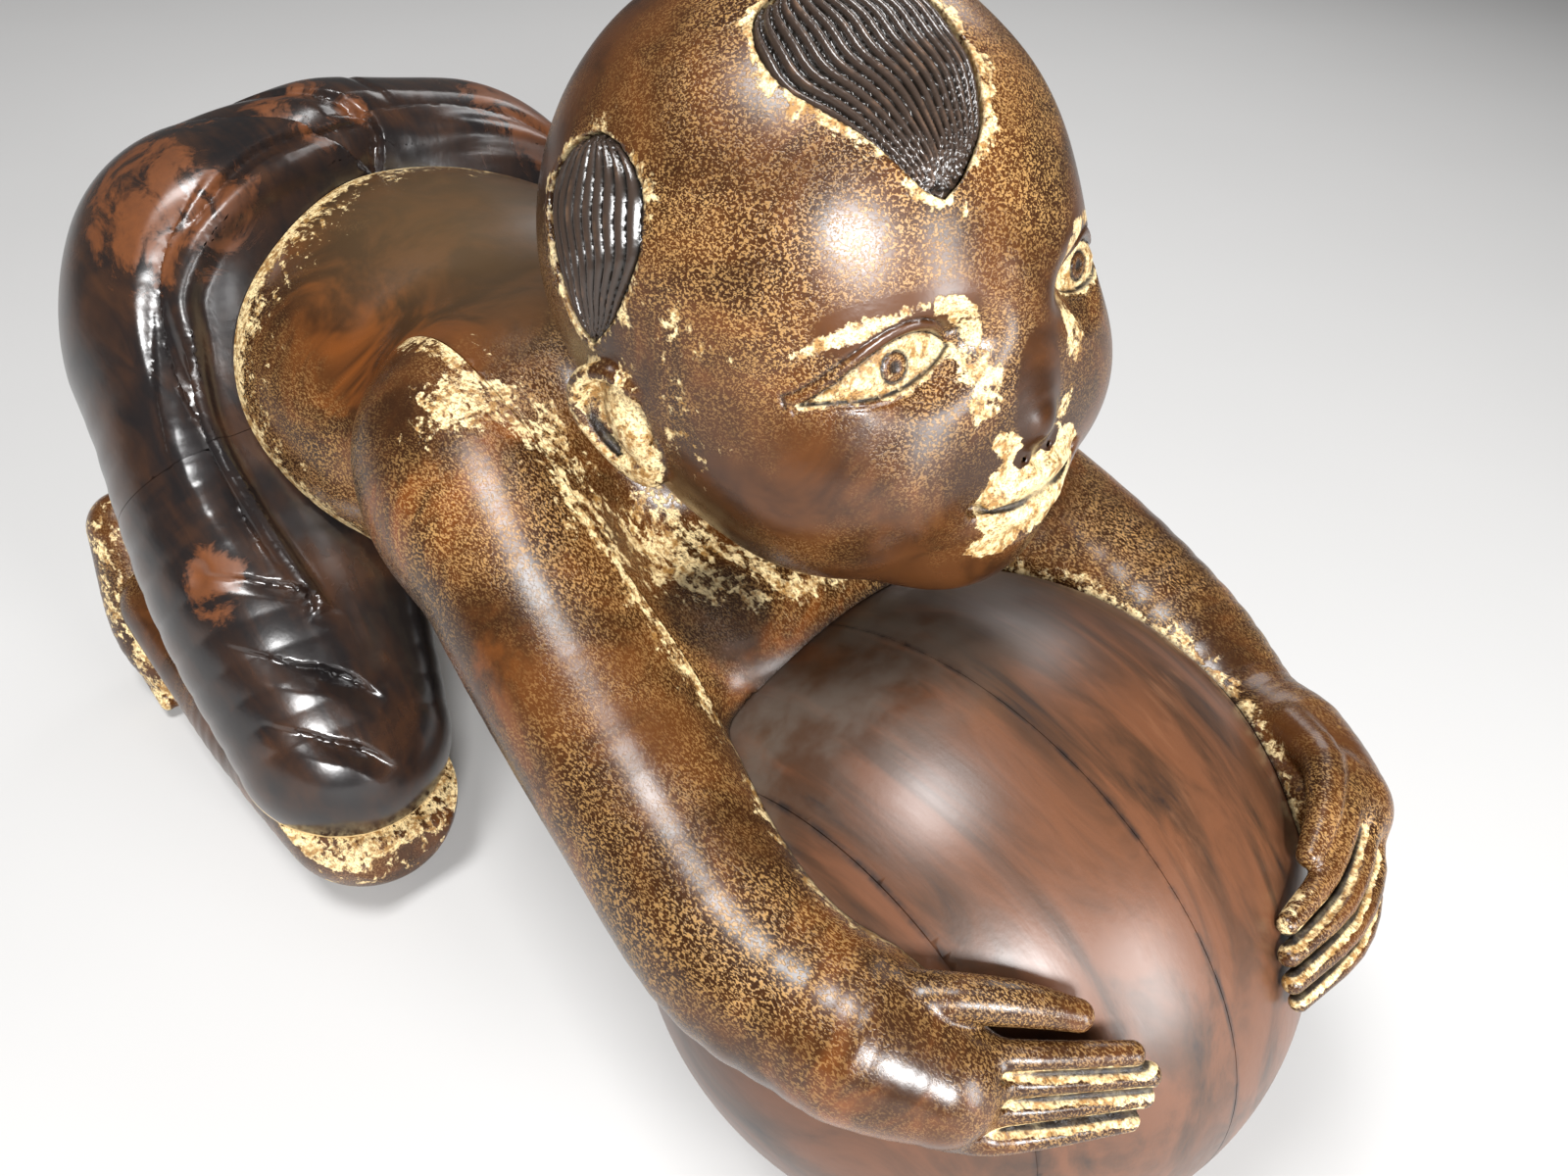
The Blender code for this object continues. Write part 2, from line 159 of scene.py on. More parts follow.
def sculpt(name, fields, low, high, step, fine=(None, None, None)):
    # samples the fields near their common surface only, skins it and settles each point on it
    fields = fields if isinstance(fields, (list, tuple)) else [fields]
    step = step * carving["coarser"]
    axes = [stretched(a, b, step, f) for a, b, f in zip(low, high, fine)]
    blocks = np.array([math.ceil(len(axis) / 8) for axis in axes])
    axes = [
        np.concatenate([axis, axis[-1] + step * np.arange(1, n * 8 - len(axis) + 1)])
        for axis, n in zip(axes, blocks)
    ]

    def at(index):
        return np.stack([axis[index[..., i]] for i, axis in enumerate(axes)], -1).astype(np.float32)

    def solid(p):
        return np.maximum.reduce([field(p) for field in fields])

    spots = np.stack(np.meshgrid(*[np.arange(n) for n in blocks], indexing="ij"), -1).reshape(-1, 3)
    coarse = solid(at(spots * 8 + 4))
    wanted = np.abs(coarse) < step * 8 * 1.2
    values = np.repeat(np.where(coarse > 0, 1.0, -1.0).astype(np.float32)[:, None], 512, 1) * step * 6
    inner = np.stack(np.meshgrid(*[np.arange(8)] * 3, indexing="ij"), -1).reshape(-1, 3)
    chosen = np.flatnonzero(wanted)
    for part in np.array_split(chosen, max(1, len(chosen) // 700)):
        index = (spots[part] * 8)[:, None, :] + inner[None]
        values[part] = solid(at(index).reshape(-1, 3)).reshape(len(part), 512)
    grid = values.reshape(*blocks, 8, 8, 8).transpose(0, 3, 1, 4, 2, 5).reshape(blocks * 8)
    volume = openvdb.FloatGrid(float(step * 6))
    volume.copyFromArray(np.ascontiguousarray(grid))
    points, quads = volume.convertToQuads(0.0)
    points = np.stack(
        [np.interp(points[:, i], np.arange(len(axis)), axis) for i, axis in enumerate(axes)], -1
    ).astype(np.float32)
    for _ in range(3):
        points = settle(points, fields, step)
    a, b, c = points[quads[:, 0]], points[quads[:, 1]], points[quads[:, 2]]
    if (a * np.cross(b, c)).sum() < 0:
        quads = quads[:, ::-1]
    mesh = bpy.data.meshes.new(name)
    mesh.vertices.add(len(points))
    mesh.vertices.foreach_set("co", (points + np.array(carving["toMiddle"], np.float32)).ravel())
    mesh.loops.add(quads.size)
    mesh.loops.foreach_set("vertex_index", quads.astype(np.int32).ravel())
    mesh.polygons.add(len(quads))
    mesh.polygons.foreach_set("loop_start", np.arange(0, quads.size, 4, dtype=np.int32))
    mesh.update(calc_edges=True)
    mesh.shade_smooth()
    if len(fields) > 1:
        mesh.set_sharp_from_angle(angle=math.radians(50))
    piece = bpy.data.objects.new(name, mesh)
    bpy.context.scene.collection.objects.link(piece)
    print(name, len(quads), "faces")
    return piece, points


def slopeOf(points, field, reach):
    slope = np.empty_like(points)
    for axis in range(3):
        shift = np.zeros(3, np.float32)
        shift[axis] = reach
        slope[:, axis] = (field(points + shift) - field(points - shift)) / (2 * reach)
    return slope


def settle(points, fields, step):
    # moves each point onto the outermost field, and onto the edge where two of them meet
    values = np.stack([field(points) for field in fields], 1)
    rows = np.arange(len(points))
    order = np.argsort(-values, 1)
    first = order[:, 0]
    reach = step * 0.2
    slopes = np.zeros((len(points), len(fields), 3), np.float32)
    for i, field in enumerate(fields):
        touched = values[:, i] > values[rows, first] - step * 0.7
        if touched.any():
            slopes[touched, i] = slopeOf(points[touched], field, reach)
    g = slopes[rows, first]
    v = values[rows, first]
    gg = np.maximum((g * g).sum(-1), 0.1)
    move = -g * (v / gg)[:, None]
    if len(fields) > 1:
        second = order[:, 1]
        h = slopes[rows, second]
        w = values[rows, second]
        gh = (g * h).sum(-1)
        hh = (h * h).sum(-1)
        across = gg * hh - gh * gh
        edge = (w > v - step * 0.62) & (np.abs(v) < step * 0.8) & (across > 0.05 * gg * hh)
        a = np.where(edge, (hh * v - gh * w) / np.where(edge, across, 1), 0)
        b = np.where(edge, (gg * w - gh * v) / np.where(edge, across, 1), 0)
        move = np.where(edge[:, None], -(g * a[:, None] + h * b[:, None]), move)
    size = np.sqrt((move * move).sum(-1)) + 1e-9
    return points + move * np.minimum(1, step * 0.9 / size)[:, None]


def smoothTable(pairs):
    # a smooth curve through (place, value) pairs, for np.interp
    line = smoothStations([(a, b, 0, 0) for a, b in pairs], 6)
    return line[:, 0], line[:, 1]


def paint(piece, name, values):
    layer = piece.data.attributes.new(name, "FLOAT", "POINT")
    count = len(piece.data.vertices)
    layer.data.foreach_set("value", np.ascontiguousarray(np.clip(values, 0, 1)[:count], np.float32))


def glow(distance, width):
    # 1 at a line or inside a shape, fading to 0 over the width
    return np.clip(1 - distance / width, 0, 1)


def place(piece, slot, *nodes):
    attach(piece, "root")
    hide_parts(*nodes)


def lay(field, stations, count=5):
    # puts a rough path onto a surface, with the way across it and the depth at each point
    line = smoothStations(stations, count)
    spots = line[:, :3].copy()
    for _ in range(8):
        slope = slopeOf(spots, field, 0.001)
        spots -= slope * (field(spots) / np.maximum((slope * slope).sum(-1), 0.1))[:, None] * 0.9
    out = slopeOf(spots, field, 0.002)
    side = np.cross(out, np.gradient(spots, axis=0))
    side /= np.linalg.norm(side, axis=1)[:, None] + 1e-9
    return spots.astype(np.float32), side.astype(np.float32), line[:, 3]


def crease(p, d, laid, width):
    # a cut step: sheer along the path, sloping back up over the width on its far side
    spots, side, depth = laid
    best = np.full(len(p), 1e3, np.float32)
    off = np.zeros(len(p), np.float32)
    deep = np.zeros(len(p), np.float32)
    for i in range(len(spots) - 1):
        along = spots[i + 1] - spots[i]
        q = p - spots[i]
        t = np.clip(q @ along / float(along @ along), 0, 1)
        away = q - t[:, None] * along
        size = np.sqrt((away * away).sum(-1))
        closer = size < best
        best = np.where(closer, size, best)
        off = np.where(closer, away @ side[i], off)
        deep = np.where(closer, depth[i] + (depth[i + 1] - depth[i]) * t, deep)
    drop = np.clip(off / 0.0024 + 0.5, 0, 1) * np.clip(1 - off / width, 0, 1) ** 1.2
    return d + deep * drop * np.clip(2 - best / width, 0, 1)


head = {
    "centre": (0.0, -0.076, 0.455),
    "tilt": (-12.7, -5.4, -0.7),
    "skull": (0.113, 0.121, 0.118),
    "step": 0.0018,
    "tuftGrooves": (15, 10),  # front, side
    "eye": (0.0595, -0.0960, -0.0172),
    "eyeTurn": ((0.925, 0.370, -0.076), (0.02, 0.26, 0.965)),  # along the eye, up the lids
    "iris": (-0.0065, 0.0012, 0.0058),
}
headTurn = tiltMatrix(head["tilt"])
browLine = [
    (0.0860, -0.0840, -0.0020, 0.0016), (0.0752, -0.0951, 0.0023, 0.0020), (0.0557, -0.1118, 0.0072, 0.0028),
    (0.0400, -0.1175, 0.0060, 0.0036), (0.0260, -0.1135, -0.0040, 0.0042), (0.0215, -0.1120, -0.0200, 0.0042),
    (0.0215, -0.1140, -0.0360, 0.0036), (0.0235, -0.1180, -0.0500, 0.0040), (0.0140, -0.1220, -0.0620, 0.0040),
]
mouthLine = [
    (0.0320, -0.1130, -0.0830, 0.0010), (0.0240, -0.1190, -0.0862, 0.0012), (0.0130, -0.1245, -0.0872, 0.0013),
    (0.0050, -0.1265, -0.0862, 0.0013), (0.0, -0.1268, -0.0872, 0.0013),
]
upperLip = [
    (0.0265, -0.1160, -0.0820, 0.0024), (0.0140, -0.1210, -0.0800, 0.0042), (0.0060, -0.1228, -0.0785, 0.0046),
    (0.0, -0.1228, -0.0800, 0.0044),
]
lowerLip = [
    (0.0235, -0.1160, -0.0885, 0.0028), (0.0110, -0.1200, -0.0935, 0.0056), (0.0, -0.1212, -0.0948, 0.0062),
]
earRim = [
    (0.1115, -0.0140, -0.0230, 0.0030), (0.1150, -0.0040, -0.0155, 0.0036), (0.1185, 0.0095, -0.0180, 0.0040),
    (0.1200, 0.0175, -0.0290, 0.0040), (0.1180, 0.0165, -0.0430, 0.0038), (0.1130, 0.0090, -0.0580, 0.0037),
    (0.1060, 0.0000, -0.0680, 0.0034),
]
earGroove = [
    (0.1150, -0.0105, -0.0295, 0.0012), (0.1165, -0.0030, -0.0225, 0.0018), (0.1180, 0.0060, -0.0245, 0.0021),
    (0.1185, 0.0112, -0.0330, 0.0021), (0.1165, 0.0105, -0.0445, 0.0020), (0.1120, 0.0045, -0.0570, 0.0018),
    (0.1080, -0.0025, -0.0640, 0.0012),
]
lidTop = smoothTable([
    (-0.0300, 0.0), (-0.0265, 0.0052), (-0.0200, 0.0096), (-0.0120, 0.0114), (-0.0020, 0.0104),
    (0.0090, 0.0072), (0.0200, 0.0032), (0.0300, 0.0),
])
lidLow = smoothTable([
    (-0.0300, 0.0), (-0.0250, 0.0036), (-0.0160, 0.0066), (-0.0050, 0.0076), (0.0070, 0.0060), (0.0190, 0.0026),
    (0.0300, 0.0),
])


def toHead(p):
    return (p - np.array(head["centre"], np.float32)) @ headTurn


def faceField(q):
    m = mirrored(q)
    d = egg(q, (0, 0, 0), head["skull"])
    d = join(d, egg(q, (0, -0.034, -0.062), (0.093, 0.084, 0.078)), 0.045)
    d = join(d, egg(m, (0.050, -0.064, -0.066), (0.043, 0.045, 0.042)), 0.03)
    d = join(d, egg(q, (0, -0.080, -0.115), (0.036, 0.030, 0.028)), 0.03)
    d = join(d, egg(q, (0, -0.092, -0.088), (0.034, 0.029, 0.022)), 0.02)
    return within(q, d, (0, -0.11, -0.045), 0.125, faceDetail)


def eyePlan(m):
    # along the eye, up it, and outside the almond (positive)
    r = m - np.array(head["eye"], np.float32)
    along, up = (r @ np.array(axis, np.float32) for axis in head["eyeTurn"])
    edge = np.maximum(up - np.interp(along, *lidTop), -up - np.interp(along, *lidLow)) * 0.9
    edge = np.maximum(edge, np.abs(along) - 0.030)
    return along, up, np.where(np.abs(r @ np.array((0.36, -0.9, 0.1), np.float32)) < 0.02, edge, 0.05)


def notch(distance, width, depth):
    # a rounded groove along a line
    return depth * np.clip(1 - np.abs(distance) / width, 0, 1) ** 1.3


def faceDetail(q, d):
    m = mirrored(q)
    d = carve(
        d, egg(m, (0.054, -0.1395, -0.0135), (0.040, 0.036, 0.0185), (0, 8, 0)), 0.010,
    )  # hollow under the brow
    d = join(
        d, rope(q, [(0, -0.110, 0.008, 0.008), (0, -0.1115, -0.020, 0.0078), (0, -0.1160, -0.044, 0.0095)]),
        0.012,
    )
    d = join(d, egg(q, (0, -0.1175, -0.0550), (0.0125, 0.0125, 0.0115)), 0.005)
    d = join(d, egg(m, (0.0128, -0.1095, -0.0595), (0.0086, 0.0100, 0.0080)), 0.004)
    d = carve(d, egg(m, (0.0075, -0.1170, -0.0695), (0.0040, 0.0060, 0.0040)), 0.0015)
    d = carve(d, egg(q, (0, -0.1290, -0.0735), (0.0038, 0.0060, 0.0070)), 0.004)
    along, up, edge = eyePlan(m)
    inside = np.clip(-edge / 0.008, 0, 1)
    d = join(d, egg(m, (0.0570, -0.0800, -0.0170), (0.0300, 0.0205, 0.0150), (0, 0, 20)), 0.006)
    d = d + np.where(edge < 0, 0.0012 - 0.0016 * inside, 0) + notch(edge, 0.0010, 0.0014)
    upper = np.clip(up / 0.002, 0, 1)
    d = d - upper * 0.0007 * np.clip(1 - np.abs(edge - 0.0022) / 0.0022, 0, 1)
    d = d + upper * notch(edge - 0.0048, 0.0010, 0.0009) + (1 - upper) * notch(edge - 0.0026, 0.0009, 0.0006)
    x, z, size = head["iris"]
    away = np.sqrt((along - x) ** 2 + (up - z) ** 2)
    betweenLids = edge < -0.0008
    pupil = 0.0007 * np.clip((0.0026 - away) / 0.0008, 0, 1)
    d = d + betweenLids * (notch(away - size, 0.0009, 0.0010) + pupil)
    d = join(d, rope(m, upperLip), 0.0035)
    d = join(d, rope(m, lowerLip), 0.0035)
    d = carve(d, rope(m, mouthLine), 0.0010)
    d = carve(d, egg(m, (0.0320, -0.1180, -0.0830), (0.0022, 0.0035, 0.0022)), 0.005)
    d = carve(d, egg(q, (0, -0.1240, -0.1065), (0.0180, 0.0080, 0.0050)), 0.008)
    return d


def earDetail(q, d):
    m = mirrored(q)
    turned = (-18, 0, -10)
    plate = egg(m, (0.1085, 0.0020, -0.0430), (0.0090, 0.0200, 0.0290), turned)
    plate = carve(plate, egg(m, (0.1205, 0.0000, -0.0380), (0.0105, 0.0155, 0.0235), turned), 0.002)
    plate = join(plate, rope(m, earRim), 0.0025)
    pad = egg(m, (0.1085, -0.0035, -0.0400), (0.0085, 0.0115, 0.0185), turned)
    plate = carve(join(plate, pad, 0.0015), rope(m, earGroove), 0.0010)
    d = join(d, plate, 0.004)
    return carve(
        d,
        rope(
            m,
            [
                (0.1145, -0.0165, -0.0250, 0.0016), (0.1130, -0.0165, -0.0370, 0.0022),
                (0.1080, -0.0130, -0.0500, 0.0014),
            ],
        ),
        0.0015,
    )


def tuftFrame(direction, up):
    out = Vector(direction).normalized()
    across = Vector(up).cross(out).normalized()
    along = out.cross(across)
    reach = 1 / math.sqrt(sum((a / b) ** 2 for a, b in zip(out, head["skull"])))
    return np.array(out * reach, np.float32), np.array((across, along, out), np.float32).T


# outline of each tuft: height up it, then its right and left edges there
sideOutline = (
    (-0.0410, -0.0100, -0.0100), (-0.0340, -0.0185, 0.0045), (-0.0260, -0.0235, 0.0150),
    (-0.0080, -0.0300, 0.0285), (0.0090, -0.0345, 0.0325), (0.0200, -0.0325, 0.0300), (0.0300, -0.0235, 0.0220),
    (0.0365, -0.0100, 0.0110), (0.0390, 0.0030, 0.0030),
)
tufts = {
    "hair_front": (
        tuftFrame((-0.022, -0.080, 0.080), (0.12, 0.7, 0.7)),
        (
            (-0.0493, -0.0021, -0.0021), (-0.0440, -0.0085, 0.0090), (-0.0315, -0.0150, 0.0233),
            (-0.0200, -0.0210, 0.0300), (-0.0050, -0.0300, 0.0352), (0.0100, -0.0365, 0.0363),
            (0.0250, -0.0370, 0.0345), (0.0380, -0.0315, 0.0270), (0.0450, -0.0220, 0.0160),
            (0.0480, -0.0040, -0.0040),
        ),
    ),
    "hair_right": (tuftFrame((-0.104, 0.003, 0.034), (0.3, 0.12, 1)), sideOutline),
    "hair_left": (tuftFrame((0.104, 0.003, 0.034), (-0.3, 0.12, 1)), tuple((a, -c, -b) for a, b, c in sideOutline)),
}


def tuftPlan(q, name):
    # share of the way across, height and distance outside the leaf outline
    (origin, axes), outline = tufts[name]
    r = (q - origin) @ axes
    first = np.interp(r[:, 1], *smoothTable([(a, b) for a, b, _ in outline]))
    last = np.interp(r[:, 1], *smoothTable([(a, c) for a, _, c in outline]))
    half = np.maximum((last - first) / 2, 0.0002)
    across = r[:, 0] - (first + last) / 2
    edge = (np.abs(across) - half) * 0.75
    edge = np.maximum(edge, np.maximum(outline[0][0] - r[:, 1], r[:, 1] - outline[-1][0]))
    edge = np.where(r[:, 2] < -0.04, 0.05, edge)
    return across / np.maximum(half, 0.003), r[:, 1], edge.astype(np.float32)


def tuftSpot(name):
    return tufts[name][0][0]


def headBase(q):
    d = faceField(q)
    for x in (-0.11, 0.11):
        d = within(q, d, (x, 0.005, -0.030), 0.062, earDetail)
    return d


def headField(p):
    q = toHead(p)
    d = headBase(q) + 0.0004 * waves(q, 0.05, 3)
    for name in tufts:

        def pocket(r, base, name=name):
            edge = tuftPlan(r, name)[2]
            return carve(base, np.maximum(edge, -(base + 0.006)), 0.0008)

        d = within(q, d, tuftSpot(name), 0.075, pocket)
    return d


def tuftField(name):
    count = head["tuftGrooves"][0 if name == "hair_front" else 1]

    def field(p):
        q = toHead(p)
        share, height, edge = tuftPlan(q, name)
        base = headBase(q)
        ridge = np.abs(np.cos((share + 0.02 * np.sin(height * 190)) * count * math.pi / 2)) ** 0.8
        top = base + 0.0040 - 0.0034 * ridge + 0.0010 * np.clip(1 + edge / 0.005, 0, 1)
        return trim(trim(top, edge + 0.0006, 0.0008), -(base + 0.0056), 0.0008) * 0.8

    return field


limbs = {
    "rightArm": [
        (-0.096, 0.060, 0.316, 0.056), (-0.124, -0.040, 0.288, 0.050), (-0.141, -0.145, 0.247, 0.045),
        (-0.155, -0.225, 0.236, 0.041), (-0.146, -0.285, 0.238, 0.032), (-0.138, -0.312, 0.238, 0.024),
    ],
    "leftArm": [
        (0.096, 0.060, 0.308, 0.056), (0.138, -0.040, 0.284, 0.055), (0.163, -0.145, 0.246, 0.056),
        (0.159, -0.232, 0.234, 0.046), (0.142, -0.292, 0.228, 0.036), (0.121, -0.337, 0.240, 0.027),
        (0.104, -0.358, 0.247, 0.021),
    ],
    "thigh": [(0.105, 0.330, 0.235, 0.098), (0.145, 0.220, 0.155, 0.084), (0.165, 0.130, 0.082, 0.066)],
    "shin": [
        (0.170, 0.100, 0.052, 0.053), (0.183, 0.190, 0.050, 0.043), (0.188, 0.265, 0.052, 0.035),
        (0.188, 0.335, 0.072, 0.034),
    ],
    "foot": [(0.190, 0.378, 0.115, 0.027), (0.197, 0.352, 0.050, 0.031), (0.199, 0.322, 0.022, 0.024)],
}
fingers = {
    "right": [
        [
            (-0.146, -0.298, 0.247, 0.011), (-0.130, -0.318, 0.249, 0.0070), (-0.112, -0.339, 0.2525, 0.0062),
            (-0.083, -0.3635, 0.2525, 0.0052),
        ],
        [
            (-0.148, -0.304, 0.238, 0.011), (-0.131, -0.326, 0.240, 0.0070), (-0.111, -0.3465, 0.2440, 0.0062),
            (-0.080, -0.3715, 0.2445, 0.0052),
        ],
        [
            (-0.149, -0.308, 0.229, 0.011), (-0.134, -0.331, 0.229, 0.0070), (-0.116, -0.3490, 0.2345, 0.0060),
            (-0.084, -0.3735, 0.2365, 0.0050),
        ],
        [
            (-0.149, -0.312, 0.220, 0.010), (-0.138, -0.336, 0.219, 0.0064), (-0.121, -0.3530, 0.2240, 0.0056),
            (-0.091, -0.3745, 0.2280, 0.0046),
        ],
    ],
    "rightThumb": [
        (-0.152, -0.272, 0.250, 0.015), (-0.131, -0.298, 0.2640, 0.0105), (-0.110, -0.323, 0.2680, 0.0088),
        (-0.094, -0.342, 0.2655, 0.0064),
    ],
    "left": [
        [
            (0.105, -0.350, 0.266, 0.010), (0.087, -0.3655, 0.2640, 0.0070), (0.053, -0.3750, 0.2580, 0.0062),
            (0.021, -0.3755, 0.2515, 0.0050),
        ],
        [
            (0.107, -0.360, 0.254, 0.010), (0.089, -0.3770, 0.2530, 0.0070), (0.053, -0.3865, 0.2490, 0.0062),
            (0.014, -0.3830, 0.2435, 0.0050),
        ],
        [
            (0.107, -0.368, 0.242, 0.010), (0.089, -0.3860, 0.2420, 0.0068), (0.053, -0.3945, 0.2390, 0.0060),
            (0.011, -0.3900, 0.2340, 0.0048),
        ],
        [
            (0.103, -0.374, 0.230, 0.009), (0.085, -0.3915, 0.2300, 0.0062), (0.053, -0.3995, 0.2280, 0.0056),
            (0.013, -0.3955, 0.2240, 0.0044),
        ],
    ],
    "leftThumb": [
        (0.118, -0.322, 0.262, 0.013), (0.098, -0.3450, 0.2730, 0.0098), (0.074, -0.3590, 0.2700, 0.0080),
        (0.052, -0.3660, 0.2630, 0.0060),
    ],
}
palms = {
    "right": [(-0.150, -0.285, 0.240, 0.029), (-0.137, -0.318, 0.236, 0.019)],
    "left": [(0.128, -0.322, 0.240, 0.029), (0.107, -0.358, 0.247, 0.020)],
}
waistEdge = [
    (-0.030, 0.308, 0.366), (0.0, 0.312, 0.362), (0.030, 0.308, 0.368), (0.068, 0.292, 0.371),
    (0.111, 0.280, 0.358), (0.142, 0.269, 0.330), (0.150, 0.255, 0.306), (0.161, 0.227, 0.265),
    (0.163, 0.184, 0.232), (0.156, 0.131, 0.184), (0.153, 0.093, 0.139), (0.160, 0.069, 0.106),
]
joints = {
    "ballPlanes": (-0.113, -0.027, 0.100),
    "shoulder": 0.100,
    "armBack": 0.105,
    "armFront": 0.165,
    "thighPoint": (0.125, 0.275, 0.195),
    "thighWay": (0.0, 0.79, 0.61),
    "hem": (0.07, 0.052, 0.30),
}
ball = {"centre": (0.0, -0.233, 0.1568), "radii": (0.171, 0.172, 0.1593), "around": 256}


waistCurve = smoothTable([
    (0.0, -0.06), (0.08, 0.030), (0.106, 0.055), (0.14, 0.090), (0.184, 0.133), (0.232, 0.186), (0.265, 0.226),
    (0.306, 0.255), (0.340, 0.270), (0.376, 0.282), (0.50, 0.30),
])


def ballField(p):
    return trim(egg(p, ball["centre"], ball["radii"]), -p[:, 2], 0.003)


def behindWaist(p):
    # negative in front of the waist line
    line = np.interp(p[:, 2], *waistCurve) + 0.028 * np.exp(-((p[:, 0] / 0.055) ** 2)) * np.clip(
        (p[:, 2] - 0.30) / 0.05, 0, 1,
    )
    return ((p[:, 1] - line) * 0.72).astype(np.float32)


def trunkField(p):
    m = mirrored(p)
    d = egg(p, (0, 0.215, 0.262), (0.146, 0.175, 0.112))
    d = join(d, egg(p, (0, 0.045, 0.275), (0.128, 0.110, 0.092)), 0.05)
    d = join(d, egg(p, (0, 0.080, 0.200), (0.100, 0.120, 0.090)), 0.04)
    d = join(d, egg(p, (0, -0.078, 0.262), (0.130, 0.080, 0.050)), 0.03)
    d = join(d, rope(p, [(0, 0.050, 0.310, 0.062), (0, 0.005, 0.345, 0.055), (0, -0.030, 0.380, 0.050)]), 0.04)
    d = join(d, egg(m, (0.062, 0.075, 0.320), (0.050, 0.070, 0.050)), 0.03)
    spine = rope(p, [(0, 0.05, 0.395, 0.006), (0, 0.15, 0.405, 0.008), (0, 0.25, 0.402, 0.008)])
    return carve(d, spine, 0.03)


def armForm(p, side):
    name, tag = ("rightArm", "right") if side < 0 else ("leftArm", "left")
    d = join(rope(p, limbs[name], 5), egg(p, (side * 0.110, 0.030, 0.298), (0.052, 0.070, 0.060)), 0.02)

    def hand(q, base):
        shape = join(base, rope(q, palms[tag], 1), 0.02)
        digits = None
        for finger in fingers[tag]:
            one = rope(q, finger, 3)
            digits = one if digits is None else join(digits, one, 0.0012)
        shape = join(shape, digits, 0.006)
        shape = join(shape, rope(q, fingers[tag + "Thumb"], 3), 0.003)
        for first, second in zip(fingers[tag][:-1], fingers[tag][1:]):
            between = [tuple((a + b) / 2 for a, b in zip(s, t)) for s, t in zip(first, second)]
            lift = np.array((0.0, -0.233, 0.157))
            cut = []
            for index, (x, y, z, _) in enumerate(between[1:]):
                out = np.array((x, y, z)) - lift
                out = out / np.linalg.norm(out) * (0.0075 if index == 0 else 0.0058)
                cut.append((x + out[0], y + out[1], z + out[2], 0.0012 if index == 0 else 0.0024))
            shape = carve(shape, rope(q, cut, 2), 0.0015)
        return shape

    return within(p, d, palms[tag][1][:3], 0.115, hand)


def skinField(p):
    # trunk, neck and both arms as one flowing skin; the glue planes cut it
    return join(trunkField(p), np.minimum(armForm(p, -1), armForm(p, 1)), 0.022)


def clearOf(field):
    # keeps a hair's breadth away from a neighbour
    return lambda p: carving["glueLine"] - field(p)


def headCut(p):
    return carving["glueLine"] - faceField(toHead(p))


def trunkBlock(p):
    # inside the shoulder planes, or behind the arms' blocks
    gap = carving["glueLine"]
    return np.minimum(np.abs(p[:, 0]) - joints["shoulder"] + gap, joints["armBack"] + gap - p[:, 1])


def frontOfTrunk(p):
    return -joints["armFront"] - p[:, 1]


def waistCut(p):
    return behindWaist(p) + carving["glueLine"]


def armBlock(side):
    gap = carving["glueLine"]
    return lambda p: np.minimum(joints["shoulder"] + gap - side * p[:, 0], p[:, 1] + joints["armFront"])


def armBackCut(p):
    return p[:, 1] - joints["armBack"] + carving["glueLine"]


def trouserForm(p):
    m = mirrored(p)
    d = egg(m, (0.078, 0.345, 0.268), (0.113, 0.125, 0.120))
    d = join(d, egg(p, (0, 0.350, 0.290), (0.105, 0.112, 0.110)), 0.03)
    d = join(d, rope(m, limbs["thigh"], 6), 0.03)
    d = trim(d, -behindWaist(p), 0.026)
    band = [(x + 0.004, y + 0.008, z, 0.0095 - 0.0009 * step) for step, (x, y, z) in enumerate(waistEdge[2:10])]
    return join(d, rope(m, band, 4), 0.008)


# stations are x, y, z and depth; the number after each path is the width it slopes over
pairedFolds = (  # the same on both sides
    (
        [
            (0.212, 0.200, 0.198, 0.0), (0.196, 0.180, 0.200, 0.0030), (0.168, 0.148, 0.198, 0.0050),
            (0.146, 0.124, 0.180, 0.0),
        ],
        0.010,
    ),
    (
        [
            (0.213, 0.159, 0.171, 0.0), (0.190, 0.125, 0.166, 0.0065), (0.165, 0.107, 0.158, 0.0095),
            (0.148, 0.090, 0.137, 0.0),
        ],
        0.016,
    ),
    (
        [
            (0.215, 0.123, 0.134, 0.0), (0.194, 0.094, 0.131, 0.0060), (0.175, 0.078, 0.123, 0.0090),
            (0.160, 0.066, 0.103, 0.0),
        ],
        0.014,
    ),
    (
        [
            (0.100, 0.315, 0.372, 0.0), (0.146, 0.296, 0.335, 0.0070), (0.166, 0.268, 0.292, 0.0075),
            (0.174, 0.226, 0.252, 0.0),
        ],
        0.016,
    ),
    (
        [
            (0.158, 0.262, 0.312, 0.0), (0.173, 0.235, 0.268, 0.0065), (0.178, 0.196, 0.236, 0.0065),
            (0.172, 0.160, 0.205, 0.0),
        ],
        0.014,
    ),
    ([(0.150, 0.300, 0.330, 0.0), (0.182, 0.262, 0.272, 0.0030), (0.196, 0.220, 0.232, 0.0)], 0.020),
)
